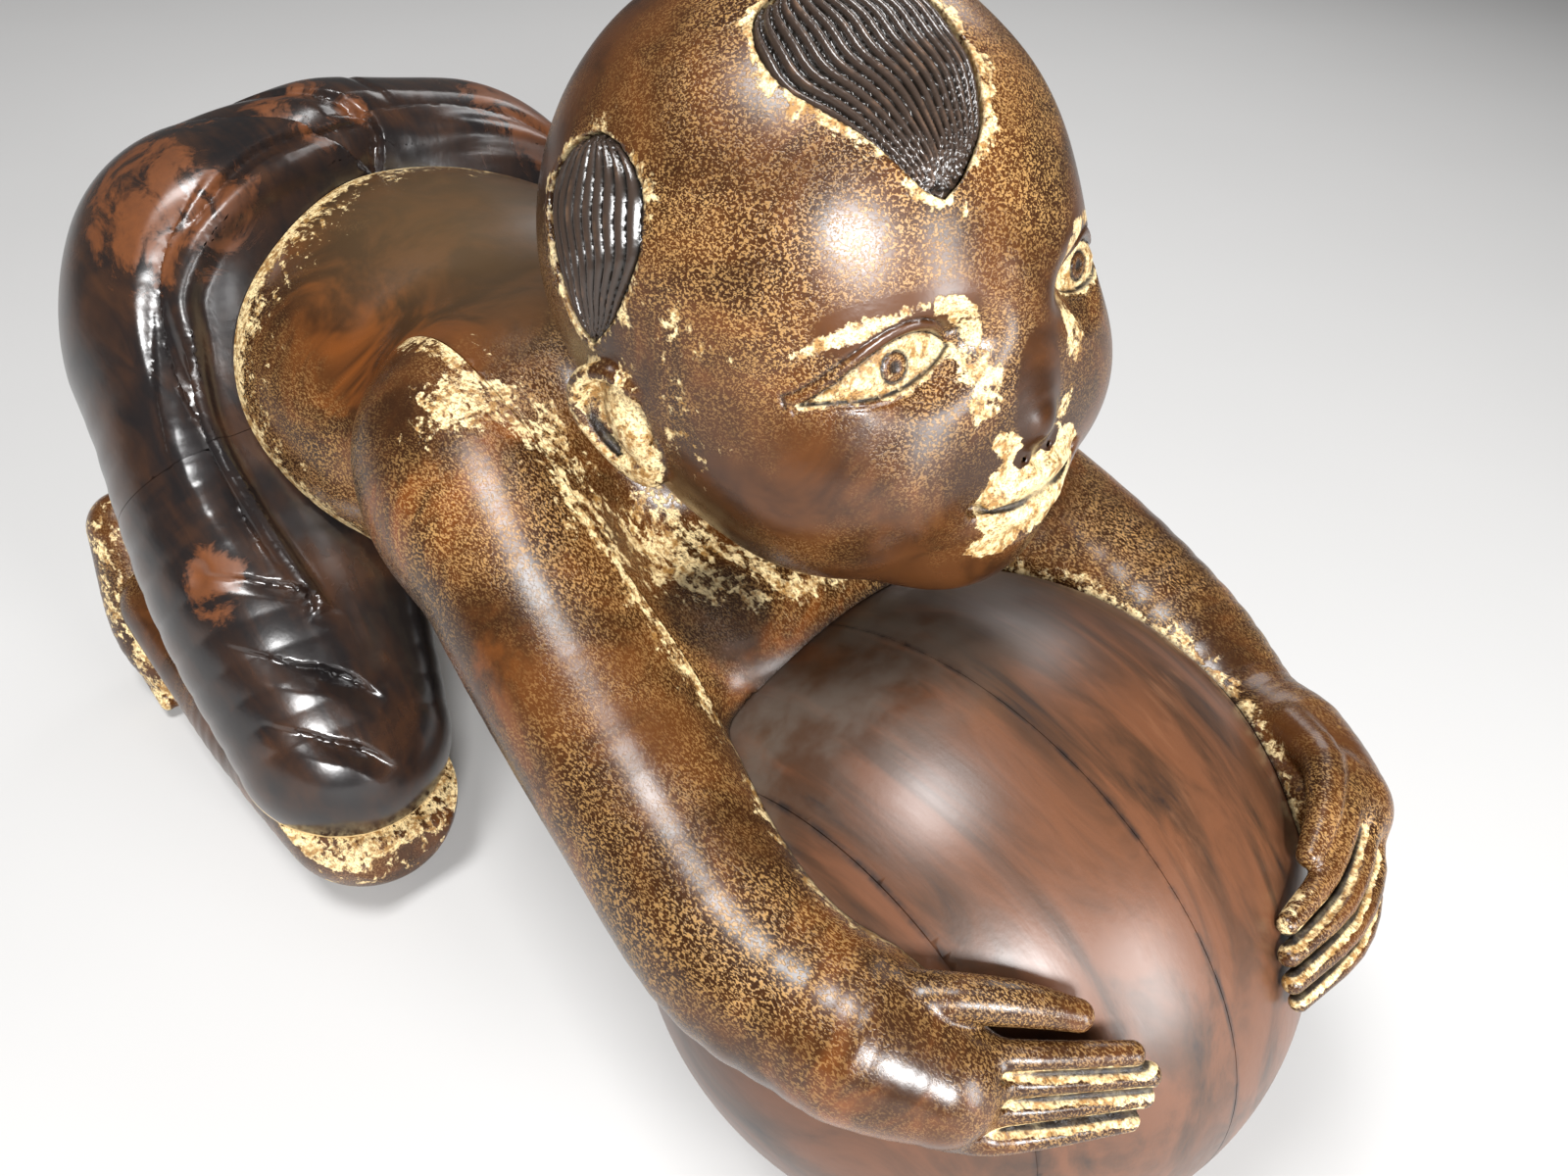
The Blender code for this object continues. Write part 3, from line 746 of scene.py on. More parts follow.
singleFolds = (
    (
        [
            (-0.100, 0.400, 0.366, 0.0), (-0.062, 0.352, 0.390, 0.0050), (-0.022, 0.318, 0.378, 0.0060),
            (-0.008, 0.308, 0.366, 0.0030),
        ],
        0.022,
    ),
    (
        [
            (0.006, 0.306, 0.366, 0.0050), (0.010, 0.322, 0.382, 0.0060), (-0.010, 0.352, 0.396, 0.0050),
            (-0.050, 0.410, 0.376, 0.0),
        ],
        0.020,
    ),
    ([(0.032, 0.330, 0.380, 0.0), (0.026, 0.352, 0.392, 0.0025), (0.034, 0.400, 0.384, 0.0)], 0.010),
    (
        [
            (0.012, 0.330, 0.384, 0.0040), (0.070, 0.318, 0.384, 0.0050), (0.118, 0.300, 0.362, 0.0050),
            (0.142, 0.284, 0.336, 0.0),
        ],
        0.016,
    ),
    (
        [
            (-0.016, 0.328, 0.380, 0.0030), (-0.070, 0.318, 0.380, 0.0045), (-0.116, 0.302, 0.360, 0.0030),
            (-0.130, 0.296, 0.346, 0.0),
        ],
        0.014,
    ),
)
foldsLaid = [(lay(trouserForm, path), width, True) for path, width in pairedFolds]
foldsLaid += [(lay(trouserForm, path), width, False) for path, width in singleFolds]


def trouserField(p):
    # waistband, its crescent gouges, the sash behind and the leaves by the knee
    m = mirrored(p)
    d = trouserForm(p)
    for laid, width, paired in foldsLaid:
        middle = laid[0][len(laid[0]) // 2]
        reach = np.linalg.norm(laid[0][0] - middle) + width * 2.5
        q = m if paired else p
        chosen = near(q, middle, reach)
        if chosen.any():
            d = d.copy()
            d[chosen] = crease(q[chosen], d[chosen], laid, width)
    knot = egg(m, (0.214, 0.186, 0.206), (0.012, 0.012, 0.012))
    d = carve(d, knot, 0.004)
    return carve(
        d, rope(p, [(0.0, 0.42, 0.366, 0.003), (0.0, 0.462, 0.27, 0.007), (0.0, 0.455, 0.19, 0.006)], 4), 0.02,
    )


def aboveThigh(p):
    way = np.array(joints["thighWay"], np.float32)
    return (p - np.array(joints["thighPoint"], np.float32)) @ (way / np.linalg.norm(way))


def aboveHem(p):
    y, z, rise = joints["hem"]
    return (p[:, 2] - z - rise * (p[:, 1] - y)) / math.sqrt(1 + rise * rise)


def belowWaist(p):
    return carving["glueLine"] - behindWaist(p)


def legInner(side):
    return lambda p: 0.012 - side * p[:, 0]


def aboveHip(p):
    return -aboveThigh(p)


def belowHip(p):
    return aboveThigh(p) + carving["glueLine"]


def hemCut(p):
    return -aboveHem(p)


def footForm(p, side):
    d = rope(p, flip(limbs["foot"], side), 5)
    for index, across in enumerate((-0.020, -0.009, 0.001, 0.010, 0.018)):
        size = 0.0085 - 0.0007 * index
        d = join(
            d,
            rope(
                p,
                [
                    (side * (0.199 + across), 0.335, 0.016, size),
                    (side * (0.201 + across), 0.305, 0.011, size * 0.9),
                ],
                1,
            ),
            0.003,
        )
    return trim(d, -p[:, 2], 0.002)


def shinFields(side):
    def leg(p):
        d = rope(p, flip(limbs["shin"], side), 6)
        d = join(d, rope(p, flip([(0.169, 0.104, 0.050, 0.054), (0.172, 0.150, 0.060, 0.052)], side), 1), 0.01)
        return trim(d, -p[:, 2], 0.002)

    return [leg, lambda p: aboveHem(p) + carving["glueLine"], lambda p: carving["glueLine"] - footForm(p, side)]


def makeHead():
    fine = ((-0.09, 0.09, 0.0012), (-0.225, -0.150, 0.0010), (0.350, 0.480, 0.0011))
    piece, points = sculpt(
        "carvedHead", headField, (-0.135, -0.235, 0.322), (0.135, 0.060, 0.582), head["step"], fine,
    )
    q = toHead(points)
    m = mirrored(q)
    along, up, edge = eyePlan(m)
    x, z, size = head["iris"]
    away = np.sqrt((along - x) ** 2 + (up - z) ** 2)
    gold = 0.72 * glow(rope(m, browLine), 0.004)
    gold = np.maximum(gold, (edge < 0.0) * 0.95)
    gold = np.maximum(gold, 0.85 * glow(edge, 0.005) * (up < 0.001))
    gold = np.maximum(gold, 0.62 * glow(egg(m, (0.027, -0.1135, -0.0280), (0.006, 0.014, 0.014)), 0.008))
    gold = np.maximum(gold, glow(egg(m, (0.0120, -0.1220, -0.0835), (0.020, 0.012, 0.0160)), 0.005))
    gold = np.maximum(gold, 0.85 * glow(egg(m, (0.0150, -0.1160, -0.1045), (0.0150, 0.012, 0.0060)), 0.006))
    gold = np.maximum(
        gold, 0.66 * glow(egg(m, (0.114, 0.003, -0.042), (0.010, 0.022, 0.032), (-18, 0, -10)), 0.003),
    )
    gold = np.maximum(gold, 0.30 * glow(egg(m, (0.100, -0.028, -0.020), (0.020, 0.030, 0.040)), 0.02))
    line = np.maximum(glow(np.abs(edge), 0.0011), glow(np.abs(edge - 0.0048), 0.0009) * (up > 0) * 0.7)
    line = np.maximum(line, glow(np.abs(away - size), 0.0012) * (edge < -0.0005))
    line = np.maximum(line, 0.95 * glow(rope(m, mouthLine), 0.0010))
    line = np.maximum(line, glow(rope(m, earGroove), 0.0010))
    line = np.maximum(
        line,
        0.6 * glow(
            np.abs(egg(m, (0.111, 0.003, -0.042), (0.012, 0.0215, 0.031), (-18, 0, -10))), 0.0012,
        ) * (m[:, 0] < 0.112),
    )
    line = np.maximum(line, 0.7 * glow(away - 0.0020, 0.0010) * (edge < -0.0005))
    iris = (away < size) * (edge < 0)
    for name in tufts:
        edge = tuftPlan(q, name)[2]
        close = np.sqrt(((q - tuftSpot(name)) ** 2).sum(-1)) < 0.085
        gold = np.maximum(gold, 0.62 * glow(np.abs(edge), 0.010) * close)
        line = np.maximum(line, glow(np.abs(edge + 0.0008), 0.0014) * close)
    bare = glow(egg(q, (0, -0.118, -0.042), (0.012, 0.024, 0.026)), 0.004)
    bare = np.maximum(bare, glow(egg(m, (0.0085, -0.118, -0.0675), (0.005, 0.008, 0.005)), 0.003))
    paint(piece, "gold", gold * (1 - bare) * (1 - 0.75 * iris))
    # dark marks along the carved lid, mouth and ear lines, round the ear and at the tuft outlines, and the iris ring
    # and pupil
    paint(piece, "dirt", line)
    bare = np.maximum(
        bare, 0.9 * glow(egg(m, (0.050, -0.1020, 0.0040), (0.036, 0.02, 0.008)), 0.006) * (edge > 0),
    )
    wear = 0.55 + 0.5 * glow(
        egg(q, (-0.03, -0.06, 0.03), (0.06, 0.06, 0.07)), 0.05,
    ) + 0.5 * waves(points, 0.07, 12)
    wear -= 0.10 * glow(egg(q, (-0.05, -0.06, -0.10), (0.06, 0.06, 0.03)), 0.05)
    paint(piece, "wear", wear * (1 - bare))
    paint(piece, "warm", 0.25 + 0.25 * waves(points, 0.09, 8))
    place(piece, "gilt_skin", "head")
    return piece


def makeTuft(name):
    q = tuftSpot(name)
    spot = headTurn @ q + np.array(head["centre"], np.float32)
    piece, points = sculpt(name + "Tuft", tuftField(name), spot - 0.064, spot + 0.064, 0.0010)
    share, height, _ = tuftPlan(toHead(points), name)
    count = head["tuftGrooves"][0 if name == "hair_front" else 1]
    # 1 on the crests and 0 in the grooves; the hair material paints the grooves near-black as painted shade
    paint(piece, "ridge", np.abs(np.cos((share + 0.02 * np.sin(height * 190)) * count * math.pi / 2)))
    place(piece, "hair_lacquer", name)
    return piece


def makeTorso():
    fields = [skinField, trunkBlock, frontOfTrunk, waistCut, headCut, clearOf(ballField)]
    piece, points = sculpt("carvedTorso", fields, (-0.175, -0.175, 0.085), (0.175, 0.330, 0.430), 0.0026)
    m = mirrored(points)
    gold = 0.85 * glow(-behindWaist(points) - 0.004, 0.018)
    gold = np.maximum(gold, 0.53 * glow(-behindWaist(points), 0.060))
    gold = np.maximum(gold, 0.52 * glow(egg(points, (0, -0.075, 0.315), (0.085, 0.060, 0.030)), 0.02))
    gold = np.maximum(gold, 0.54 * glow(egg(m, (0.098, -0.030, 0.345), (0.012, 0.080, 0.030)), 0.02))
    gold = np.where(points[:, 2] > 0.385, gold * 0.5, gold)
    paint(piece, "gold", gold)
    paint(
        piece, "warm",
        0.36 + 0.4 * waves(points, 0.16, 5) - 0.6 * glow(egg(m, (0, 0.18, 0.40), (0.06, 0.12, 0.03)), 0.04),
    )
    # painted shade where the torso meets the ball, with a darker patch on the chest beside the right arm
    dark = glow(egg(points, (-0.072, -0.110, 0.310), (0.022, 0.026, 0.030)), 0.008)
    paint(piece, "dirt", np.maximum(0.7 * glow(ballField(points), 0.006), 0.55 * dark))
    back = glow(egg(points, (0, 0.19, 0.37), (0.11, 0.11, 0.05)), 0.05)
    paint(
        piece, "wear",
        0.65 + 0.5 * waves(points, 0.12, 14) - 0.75 * back + 0.5 * glow(-behindWaist(points), 0.06),
    )
    # painted sheen: an olive tint on the top of the back
    paint(piece, "olive", glow(egg(points, (0, 0.20, 0.40), (0.10, 0.12, 0.03)), 0.05))
    place(piece, "gilt_skin", "torso")
    return piece


def makeArm(side):
    tag = "right" if side < 0 else "left"
    low = (min(side * 0.000, side * 0.225), -0.430, 0.150)
    high = (max(side * 0.000, side * 0.225), 0.115, 0.400)
    hand = (None, (-0.430, -0.290, 0.0011), (0.205, 0.275, 0.0013))
    fields = [skinField, armBlock(side), armBackCut, clearOf(ballField), headCut, lambda p: -side * p[:, 0]]
    piece, points = sculpt(tag + "Arm", fields, low, high, 0.0022, hand)
    beside = ballField(points)
    gold = 0.62 * glow(beside - 0.001, 0.016)
    # painted shade in the crevice against the ball and, below, in the gaps between the fingers
    dirt = 0.7 * glow(beside, 0.0035)
    for first, second in zip(fingers[tag][:-1], fingers[tag][1:]):
        between = [tuple(a * 0.35 + b * 0.65 for a, b in zip(s, t)) for s, t in zip(first, second)][1:]
        gap = [tuple((a + b) / 2 for a, b in zip(s, t)) for s, t in zip(first, second)][1:]
        gold = np.maximum(gold, 0.95 * glow(rope(points, [(x, y, z, 0.0048) for x, y, z, _ in between], 2), 0.002))
        dirt = np.maximum(dirt, glow(rope(points, [(x, y, z, 0.0032) for x, y, z, _ in gap], 2), 0.0012))
    outer = [(x, y - 0.001, z - 0.006, 0.0045) for x, y, z, _ in fingers[tag][3]]
    gold = np.maximum(gold, 0.9 * glow(rope(points, outer, 2), 0.003))
    seam = np.abs(side * points[:, 0] - joints["shoulder"])
    gold = np.maximum(gold, 0.56 * glow(seam - 0.002, 0.022) * (points[:, 1] > -0.16))
    # gilding on the top of the shoulder, partly a painted highlight
    shoulderGiltHighlight = glow(egg(points, (side * 0.112, 0.030, 0.355), (0.014, 0.012, 0.02)), 0.03)
    gold = np.maximum(gold, 0.60 * shoulderGiltHighlight)
    paint(piece, "gold", gold)
    paint(piece, "dirt", dirt)
    paint(piece, "wear", 0.70 + 0.6 * waves(points, 0.10, 15))
    paint(piece, "warm", 0.46 + 0.5 * waves(points, 0.15, 6) - 0.3 * glow(points[:, 1] + 0.36, 0.12))
    place(piece, "gilt_skin", "arm_" + tag)
    return piece


def makeBall():
    names = ("ball_cheek_right", "ball_middle_right", "ball_middle_left", "ball_cheek_left")
    planes = (-1.0, *joints["ballPlanes"], 1.0)
    half = carving["glueLine"] / 2
    made = []
    for name, low, high in zip(names, planes[:-1], planes[1:]):
        shape = bmesh.new()
        bmesh.ops.create_uvsphere(shape, u_segments=ball["around"], v_segments=ball["around"] // 2, radius=1.0)
        shape.transform(Matrix.Translation(ball["centre"]) @ Matrix.Diagonal((*ball["radii"], 1.0)))
        for spot, way in (((low + half, 0, 0), (-1, 0, 0)), ((high - half, 0, 0), (1, 0, 0)), ((0, 0, 0), (0, 0, -1))):
            every = shape.verts[:] + shape.edges[:] + shape.faces[:]
            cut = bmesh.ops.bisect_plane(shape, geom=every, plane_co=spot, plane_no=way, clear_outer=True)
            rim = [part for part in cut["geom_cut"] if isinstance(part, bmesh.types.BMEdge)]
            if rim:
                bmesh.ops.contextual_create(shape, geom=rim)
        bmesh.ops.recalc_face_normals(shape, faces=shape.faces)
        points = np.array([vert.co for vert in shape.verts], np.float32)
        shape.transform(Matrix.Translation(carving["toMiddle"]))
        mesh = bpy.data.meshes.new(name)
        shape.to_mesh(mesh)
        shape.free()
        mesh.shade_smooth()
        mesh.set_sharp_from_angle(angle=math.radians(50))
        piece = bpy.data.objects.new("".join(word.capitalize() for word in name.split("_")), mesh)
        bpy.context.scene.collection.objects.link(piece)
        # grey dust and a painted sheen on the top of the ball next to the chest
        paint(piece, "dust", glow(egg(points, (-0.03, -0.135, 0.290), (0.110, 0.070, 0.045)), 0.04))
        place(piece, "ball_wood", name)
        made.append(piece)
    return made


def makeTrousers():
    made = []
    piece, points = sculpt(
        "trouserHips", [trouserField, aboveHip, belowWaist], (-0.235, 0.150, 0.105), (0.235, 0.485, 0.420),
        0.0022,
    )
    made.append((piece, points, "hips"))
    for side, tag in ((-1, "right"), (1, "left")):
        low = (min(side * 0.008, side * 0.245), 0.045, 0.040)
        high = (max(side * 0.008, side * 0.245), 0.345, 0.290)
        fields = [trouserField, belowHip, hemCut, legInner(side), belowWaist]
        piece, points = sculpt(tag + "TrouserLeg", fields, low, high, 0.0020)
        made.append((piece, points, "trouser_leg_" + tag))
    for piece, points, node in made:
        m = mirrored(points)
        worn = 0.8 * glow(egg(m, (0.125, 0.325, 0.362), (0.040, 0.050, 0.030)), 0.035)
        worn = np.maximum(worn, 0.9 * glow(egg(m, (0.207, 0.178, 0.198), (0.016, 0.016, 0.018)), 0.016))
        worn = np.maximum(worn, 0.6 * glow(egg(points, (-0.02, 0.35, 0.392), (0.03, 0.04, 0.015)), 0.02))
        paint(piece, "worn", worn)
        paint(piece, "gold", 0.9 * glow(aboveHem(points), 0.004))
        # darker along the waist line where the trousers meet the skin
        paint(piece, "dirt", np.maximum(0.0, 1 - np.abs(behindWaist(points)) / 0.004))
        place(piece, "trouser_lacquer", node)
    return [piece for piece, _, _ in made]


def makeLowerLegs():
    made = []
    for side, tag in ((-1, "right"), (1, "left")):
        low = (min(side * 0.105, side * 0.235), 0.060, -0.004)
        high = (max(side * 0.105, side * 0.235), 0.375, 0.125)
        shin, points = sculpt(tag + "Shin", shinFields(side), low, high, 0.0022)
        paint(
            shin, "gold",
            np.maximum(0.64 * glow(-aboveHem(points), 0.007), 0.28 * glow(points[:, 1] - 0.10, 0.05)),
        )
        paint(shin, "wear", 0.45 + 0.4 * waves(points, 0.10, 7))
        paint(shin, "warm", 0.3 + 0.4 * waves(points, 0.10, 9))
        place(shin, "gilt_skin", "shin_" + tag)
        low = (min(side * 0.155, side * 0.240), 0.285, -0.004)
        high = (max(side * 0.155, side * 0.240), 0.420, 0.155)
        foot, points = sculpt(tag + "Foot", lambda p, side=side: footForm(p, side), low, high, 0.0018)
        paint(foot, "gold", 0.45 + 0.3 * waves(points, 0.03, 4))
        paint(foot, "wear", 0.5 + 0.3 * waves(points, 0.10, 7))
        paint(foot, "warm", 0.3 + 0.3 * waves(points, 0.10, 9))
        place(foot, "gilt_skin", "foot_" + tag)
        made += [shin, foot]
    return made


class Wire:
    # a socket that takes + - * / and power
    def __init__(self, tree, socket):
        self.tree = tree
        self.socket = socket

    def node(self, kind, settings=None, **values):
        made = self.tree.nodes.new("ShaderNode" + kind)
        for key, value in (settings or {}).items():
            if key == "stops":
                ramp = made.color_ramp
                while len(ramp.elements) > len(value):
                    ramp.elements.remove(ramp.elements[-1])
                while len(ramp.elements) < len(value):
                    ramp.elements.new(1.0)
                for element, (at, colour) in zip(ramp.elements, value):
                    element.position = at
                    element.color = colour if len(colour) == 4 else (*colour, 1)
            elif key != "out":
                setattr(made, key, value)
        for key, value in values.items():
            target = made.inputs[int(key[1:])] if key[0] == "i" and key[1:].isdigit() else made.inputs[key.replace(
                "_", " ",
            )]
            if isinstance(value, Wire):
                self.tree.links.new(value.socket, target)
            else:
                target.default_value = value
        out = (settings or {}).get("out", 0)
        return Wire(self.tree, made.outputs[out])

    def maths(self, operation, *others):
        return self.node("Math", {"operation": operation}, i0=self, **{f"i{n + 1}": v for n, v in enumerate(others)})

    def __add__(self, other):
        return self.maths("ADD", other)

    __radd__ = __add__

    def __mul__(self, other):
        return self.maths("MULTIPLY", other)

    __rmul__ = __mul__

    def __sub__(self, other):
        return self.maths("SUBTRACT", other)

    def __rsub__(self, other):
        return self.node("Math", {"operation": "SUBTRACT"}, i0=other, i1=self)

    def __truediv__(self, other):
        return self.maths("DIVIDE", other)

    def __pow__(self, other):
        return self.maths("POWER", other)

    def least(self, other):
        return self.maths("MINIMUM", other)

    def step(self, low, high):
        return self.node(
            "MapRange", {"interpolation_type": "SMOOTHSTEP"}, i0=self, i1=low, i2=high, i3=0.0, i4=1.0,
        )

    def mix(self, first, second):
        # colours first and second, by this wire
        return self.node("Mix", {"data_type": "RGBA", "out": 2}, i0=self, i6=first, i7=second)

    def turned(self, scale, rotation=(0, 0, 0)):
        return self.node("Mapping", None, Vector=self, Scale=scale, Rotation=rotation)

    def noise(self, scale, detail=3.0, rough=0.55, distortion=0.0):
        return self.node(
            "TexNoise", None, Vector=self, Scale=scale, Detail=detail, Roughness=rough, Distortion=distortion,
        )


def newMaterial(name):
    material = bpy.data.materials.new(name)
    material.use_nodes = True
    tree = material.node_tree
    shader = tree.nodes["Principled BSDF"]
    start = Wire(tree, None)
    place3d = start.node("TexCoord", {"out": 3})
    return material, tree, shader, start, place3d


def attribute(start, name):
    return start.node("Attribute", {"attribute_name": name, "out": 2})


def plug(tree, shader, **sockets):
    for name, value in sockets.items():
        target = shader.inputs[name.replace("_", " ")]
        if isinstance(value, Wire):
            tree.links.new(value.socket, target)
        else:
            target.default_value = value


def bump(start, height, strength, distance):
    return start.node("Bump", None, Height=height, Strength=strength, Distance=distance)


def rgb(r, g, b):
    return (r, g, b, 1.0)


skin = {
    "lacquer": rgb(0.078, 0.027, 0.007),
    "deepLacquer": rgb(0.028, 0.010, 0.003),
    "rust": rgb(0.190, 0.052, 0.008),
    "olive": rgb(0.085, 0.054, 0.024),
    "rubbedGold": rgb(0.480, 0.275, 0.095),
    "gilding": rgb(0.300, 0.155, 0.040),
    "paleGilding": rgb(0.820, 0.640, 0.340),
    # near-black for painted shade in crevices and for dark lines and marks
    "dirt": rgb(0.012, 0.008, 0.006),
}


def skinMaterial(name, grain, chips):
    # lacquer over gilding, rubbed through in fine strokes; grain and chips stretch the strokes and the flakes
    material, tree, shader, start, spot = newMaterial(name)
    gold, warm, dirt, wear, olive = (attribute(start, key) for key in ("gold", "warm", "dirt", "wear", "olive"))
    broad = spot.noise(8, 3, 0.6)
    patchy = spot.noise(30, 4, 0.62, 0.4)
    bend = spot.noise(22, 2, 0.5)
    strokes = spot.turned(grain).noise(1.0, 1.0, 0.5, 0.7)
    cross = spot.turned(tuple(g * 1.25 for g in grain), (0.7, 0.4, 1.1)).noise(1.0, 1.0, 0.5, 0.7)
    flow = bend.step(0.47, 0.53)
    mixed = strokes * flow + cross * (1.0 - flow)
    speck = mixed.step(0.50, 0.60)
    rubbed = (broad * 0.5 + patchy * 0.6 + wear * 0.62).step(0.70, 1.30)
    fine = speck * rubbed
    chip = spot.turned(chips).noise(1.0, 4, 0.65, 0.6) * 0.62 + spot.noise(260, 3, 0.6, 0.4) * 0.38
    solid = (gold + (chip - 0.5) * 2.6 - 0.5).step(-0.07, 0.09) * gold.step(0.03, 0.2)
    solid = solid * (0.35 + mixed.step(0.36, 0.50) * 0.65)
    tone = spot.noise(18, 4, 0.65, 0.6)
    base = tone.step(0.38, 0.64).mix(skin["deepLacquer"], skin["lacquer"])
    base = (warm * tone.step(0.3, 0.7)).step(0.20, 0.80).mix(base, skin["rust"])
    # painted sheen on the upper back, an olive tint
    base = (olive * 0.6).mix(base, skin["olive"])
    base = (fine * 0.66).mix(base, skin["rubbedGold"])
    shade = spot.noise(75, 4, 0.65) * 0.6 + spot.noise(300, 2, 0.6) * 0.4
    base = solid.mix(base, shade.step(0.38, 0.58).mix(skin["gilding"], skin["paleGilding"]))
    # painted shade in the crevices against the ball and between the fingers, and dark lines and marks, mix towards
    # near-black
    shadeAndMarkMix = (dirt * 1.4).least(1.0) * (0.75 + spot.noise(160, 2, 0.6) * 0.4).least(1.0)
    base = shadeAndMarkMix.mix(base, skin["dirt"])
    height = spot.noise(300, 2, 0.5) * 0.2 + speck * 0.3 * rubbed - solid * 0.8 + chip * 0.3
    rough = 0.21 + fine * 0.12 + solid * 0.20 + spot.noise(60, 3, 0.6) * 0.10 + olive * 0.12
    plug(tree, shader, Base_Color=base, Roughness=rough, Normal=bump(start, height, 0.4, 0.0007))
    shader.inputs["Specular IOR Level"].default_value = 0.45
    return material


trouser = {
    "lacquer": rgb(0.010, 0.008, 0.008),
    "brown": rgb(0.046, 0.020, 0.010),
    "worn": rgb(0.150, 0.048, 0.014),
    "hem": rgb(0.640, 0.470, 0.230),
}


def trouserMaterial():
    material, tree, shader, start, spot = newMaterial("trouserLacquer")
    worn = attribute(start, "worn")
    gold = attribute(start, "gold")
    dirt = attribute(start, "dirt")
    cloud = spot.noise(14, 4, 0.6, 0.5)
    grain = spot.turned((120, 14, 40)).noise(1.0, 3, 0.6, 0.6)
    base = (cloud * 0.7 + grain * 0.3).step(0.40, 0.70).mix(trouser["lacquer"], trouser["brown"])
    ragged = spot.noise(26, 6, 0.72, 1.2)
    rub = (worn + (ragged - 0.5) * 2.6 - 0.66).step(-0.16, 0.22)
    base = (rub * (0.35 + spot.noise(80, 4, 0.7) * 0.8)).mix(base, trouser["worn"])
    edge = (gold + spot.noise(120, 3, 0.6) - 1.0).step(-0.4, 0.0) * gold.step(0.05, 0.3)
    base = edge.mix(base, trouser["hem"])
    # darker along the waist line where the trousers meet the skin
    base = (dirt * 0.8).mix(base, trouser["lacquer"])
    rough = 0.18 + cloud * 0.14 + edge * 0.2 + rub * 0.15
    height = grain * 0.5 + spot.noise(220, 2, 0.5) * 0.5
    plug(tree, shader, Base_Color=base, Roughness=rough, Normal=bump(start, height, 0.22, 0.0008))
    shader.inputs["Coat Weight"].default_value = 0.3
    shader.inputs["Coat Roughness"].default_value = 0.22
    return material


ballWood = {
    "red": rgb(0.112, 0.043, 0.019),
    "brown": rgb(0.052, 0.023, 0.011),
    "dark": rgb(0.012, 0.008, 0.007),
    "tan": rgb(0.230, 0.100, 0.048),
    "dust": rgb(0.090, 0.072, 0.056),
}


def ballMaterial():
    material, tree, shader, start, spot = newMaterial("ballWood")
    dust = attribute(start, "dust")
    flow = spot.turned((34, 5, 16), (0.2, 0.1, 0.25))
    broad = flow.noise(1.0, 5, 0.62, 1.1)
    streak = spot.turned((190, 16, 70), (0.2, 0.1, 0.25)).noise(1.0, 4, 0.6, 0.5)
    cloud = spot.noise(9, 3, 0.6, 0.8)
    base = (broad - dust * 0.12).step(0.36, 0.62).mix(ballWood["brown"], ballWood["red"])
    base = (cloud.step(0.56, 0.75) * streak.step(0.4, 0.7) * 0.6).mix(base, ballWood["tan"])
    base = ((1 - broad.step(0.26, 0.42)) * streak.step(0.3, 0.6)).mix(base, ballWood["dark"])
    # grey dust with a painted sheen, where the red also turns browner
    grey = dust * spot.noise(26, 4, 0.6).step(0.35, 0.65) * 0.65
    base = grey.mix(base, ballWood["dust"])
    across = spot.node("SeparateXYZ", None, Vector=spot)
    nearest = 1.0
    for plane in joints["ballPlanes"]:
        nearest = (across - plane).maths("ABSOLUTE").least(nearest)
    seam = 1.0 - nearest.step(0.0004, 0.0024)
    base = (seam * spot.noise(45, 4, 0.7).step(0.35, 0.65) * 0.9).mix(base, ballWood["dark"])
    rough = 0.30 + streak * 0.14 + grey * 0.35
    height = streak * 0.6 + spot.noise(300, 2, 0.5) * 0.4
    plug(tree, shader, Base_Color=base, Roughness=rough, Normal=bump(start, height, 0.14, 0.0008))
    shader.inputs["Coat Weight"].default_value = 0.15
    shader.inputs["Coat Roughness"].default_value = 0.25
    return material


def hairMaterial():
    material, tree, shader, start, spot = newMaterial("hairLacquer")
    ridge = attribute(start, "ridge")
    wear = spot.noise(70, 4, 0.65)
    # painted shade: near-black in the grooves, lighter brown on the ridges
    base = ridge.step(0.25, 0.8).mix(rgb(0.005, 0.004, 0.003), rgb(0.036, 0.024, 0.018))
    base = (ridge.step(0.7, 1.0) * wear.step(0.5, 0.75) * 0.6).mix(base, rgb(0.170, 0.095, 0.055))
    plug(
        tree, shader, Base_Color=base, Roughness=0.17 + wear * 0.12,
        Normal=bump(start, spot.noise(400, 2, 0.5), 0.15, 0.0005),
    )
    return material


def pegMaterial():
    material, tree, shader, start, spot = newMaterial("pegWood")
    grain = spot.turned((40, 260, 260)).noise(1.0, 4, 0.6, 0.4)
    base = grain.step(0.35, 0.65).mix(rgb(0.30, 0.18, 0.09), rgb(0.50, 0.34, 0.19))
    plug(tree, shader, Base_Color=base, Roughness=0.55 + grain * 0.3, Normal=bump(start, grain, 0.2, 0.0005))
    return material


def cover(pieces, material):
    for piece in pieces:
        piece.data.materials.clear()
        piece.data.materials.append(material)


cover([makeHead()], skinMaterial("headLacquer", (860, 860, 1080), (62, 62, 62)))
cover([makeTuft(name) for name in tufts], hairMaterial())
print("head made")
bodySkin = skinMaterial("bodyLacquer", (1250, 520, 880), (150, 55, 90))
cover([makeTorso()], bodySkin)
cover([makeArm(-1), makeArm(1)], bodySkin)
cover(makeLowerLegs(), bodySkin)
print("body made")
cover(makeBall(), ballMaterial())
cover(makeTrousers(), trouserMaterial())
pegWood = pegMaterial()
for nodeName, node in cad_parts.items():
    if nodeName.startswith("peg_"):
        node.data.materials.clear()
        node.data.materials.append(pegWood)
print("trousers and ball made")

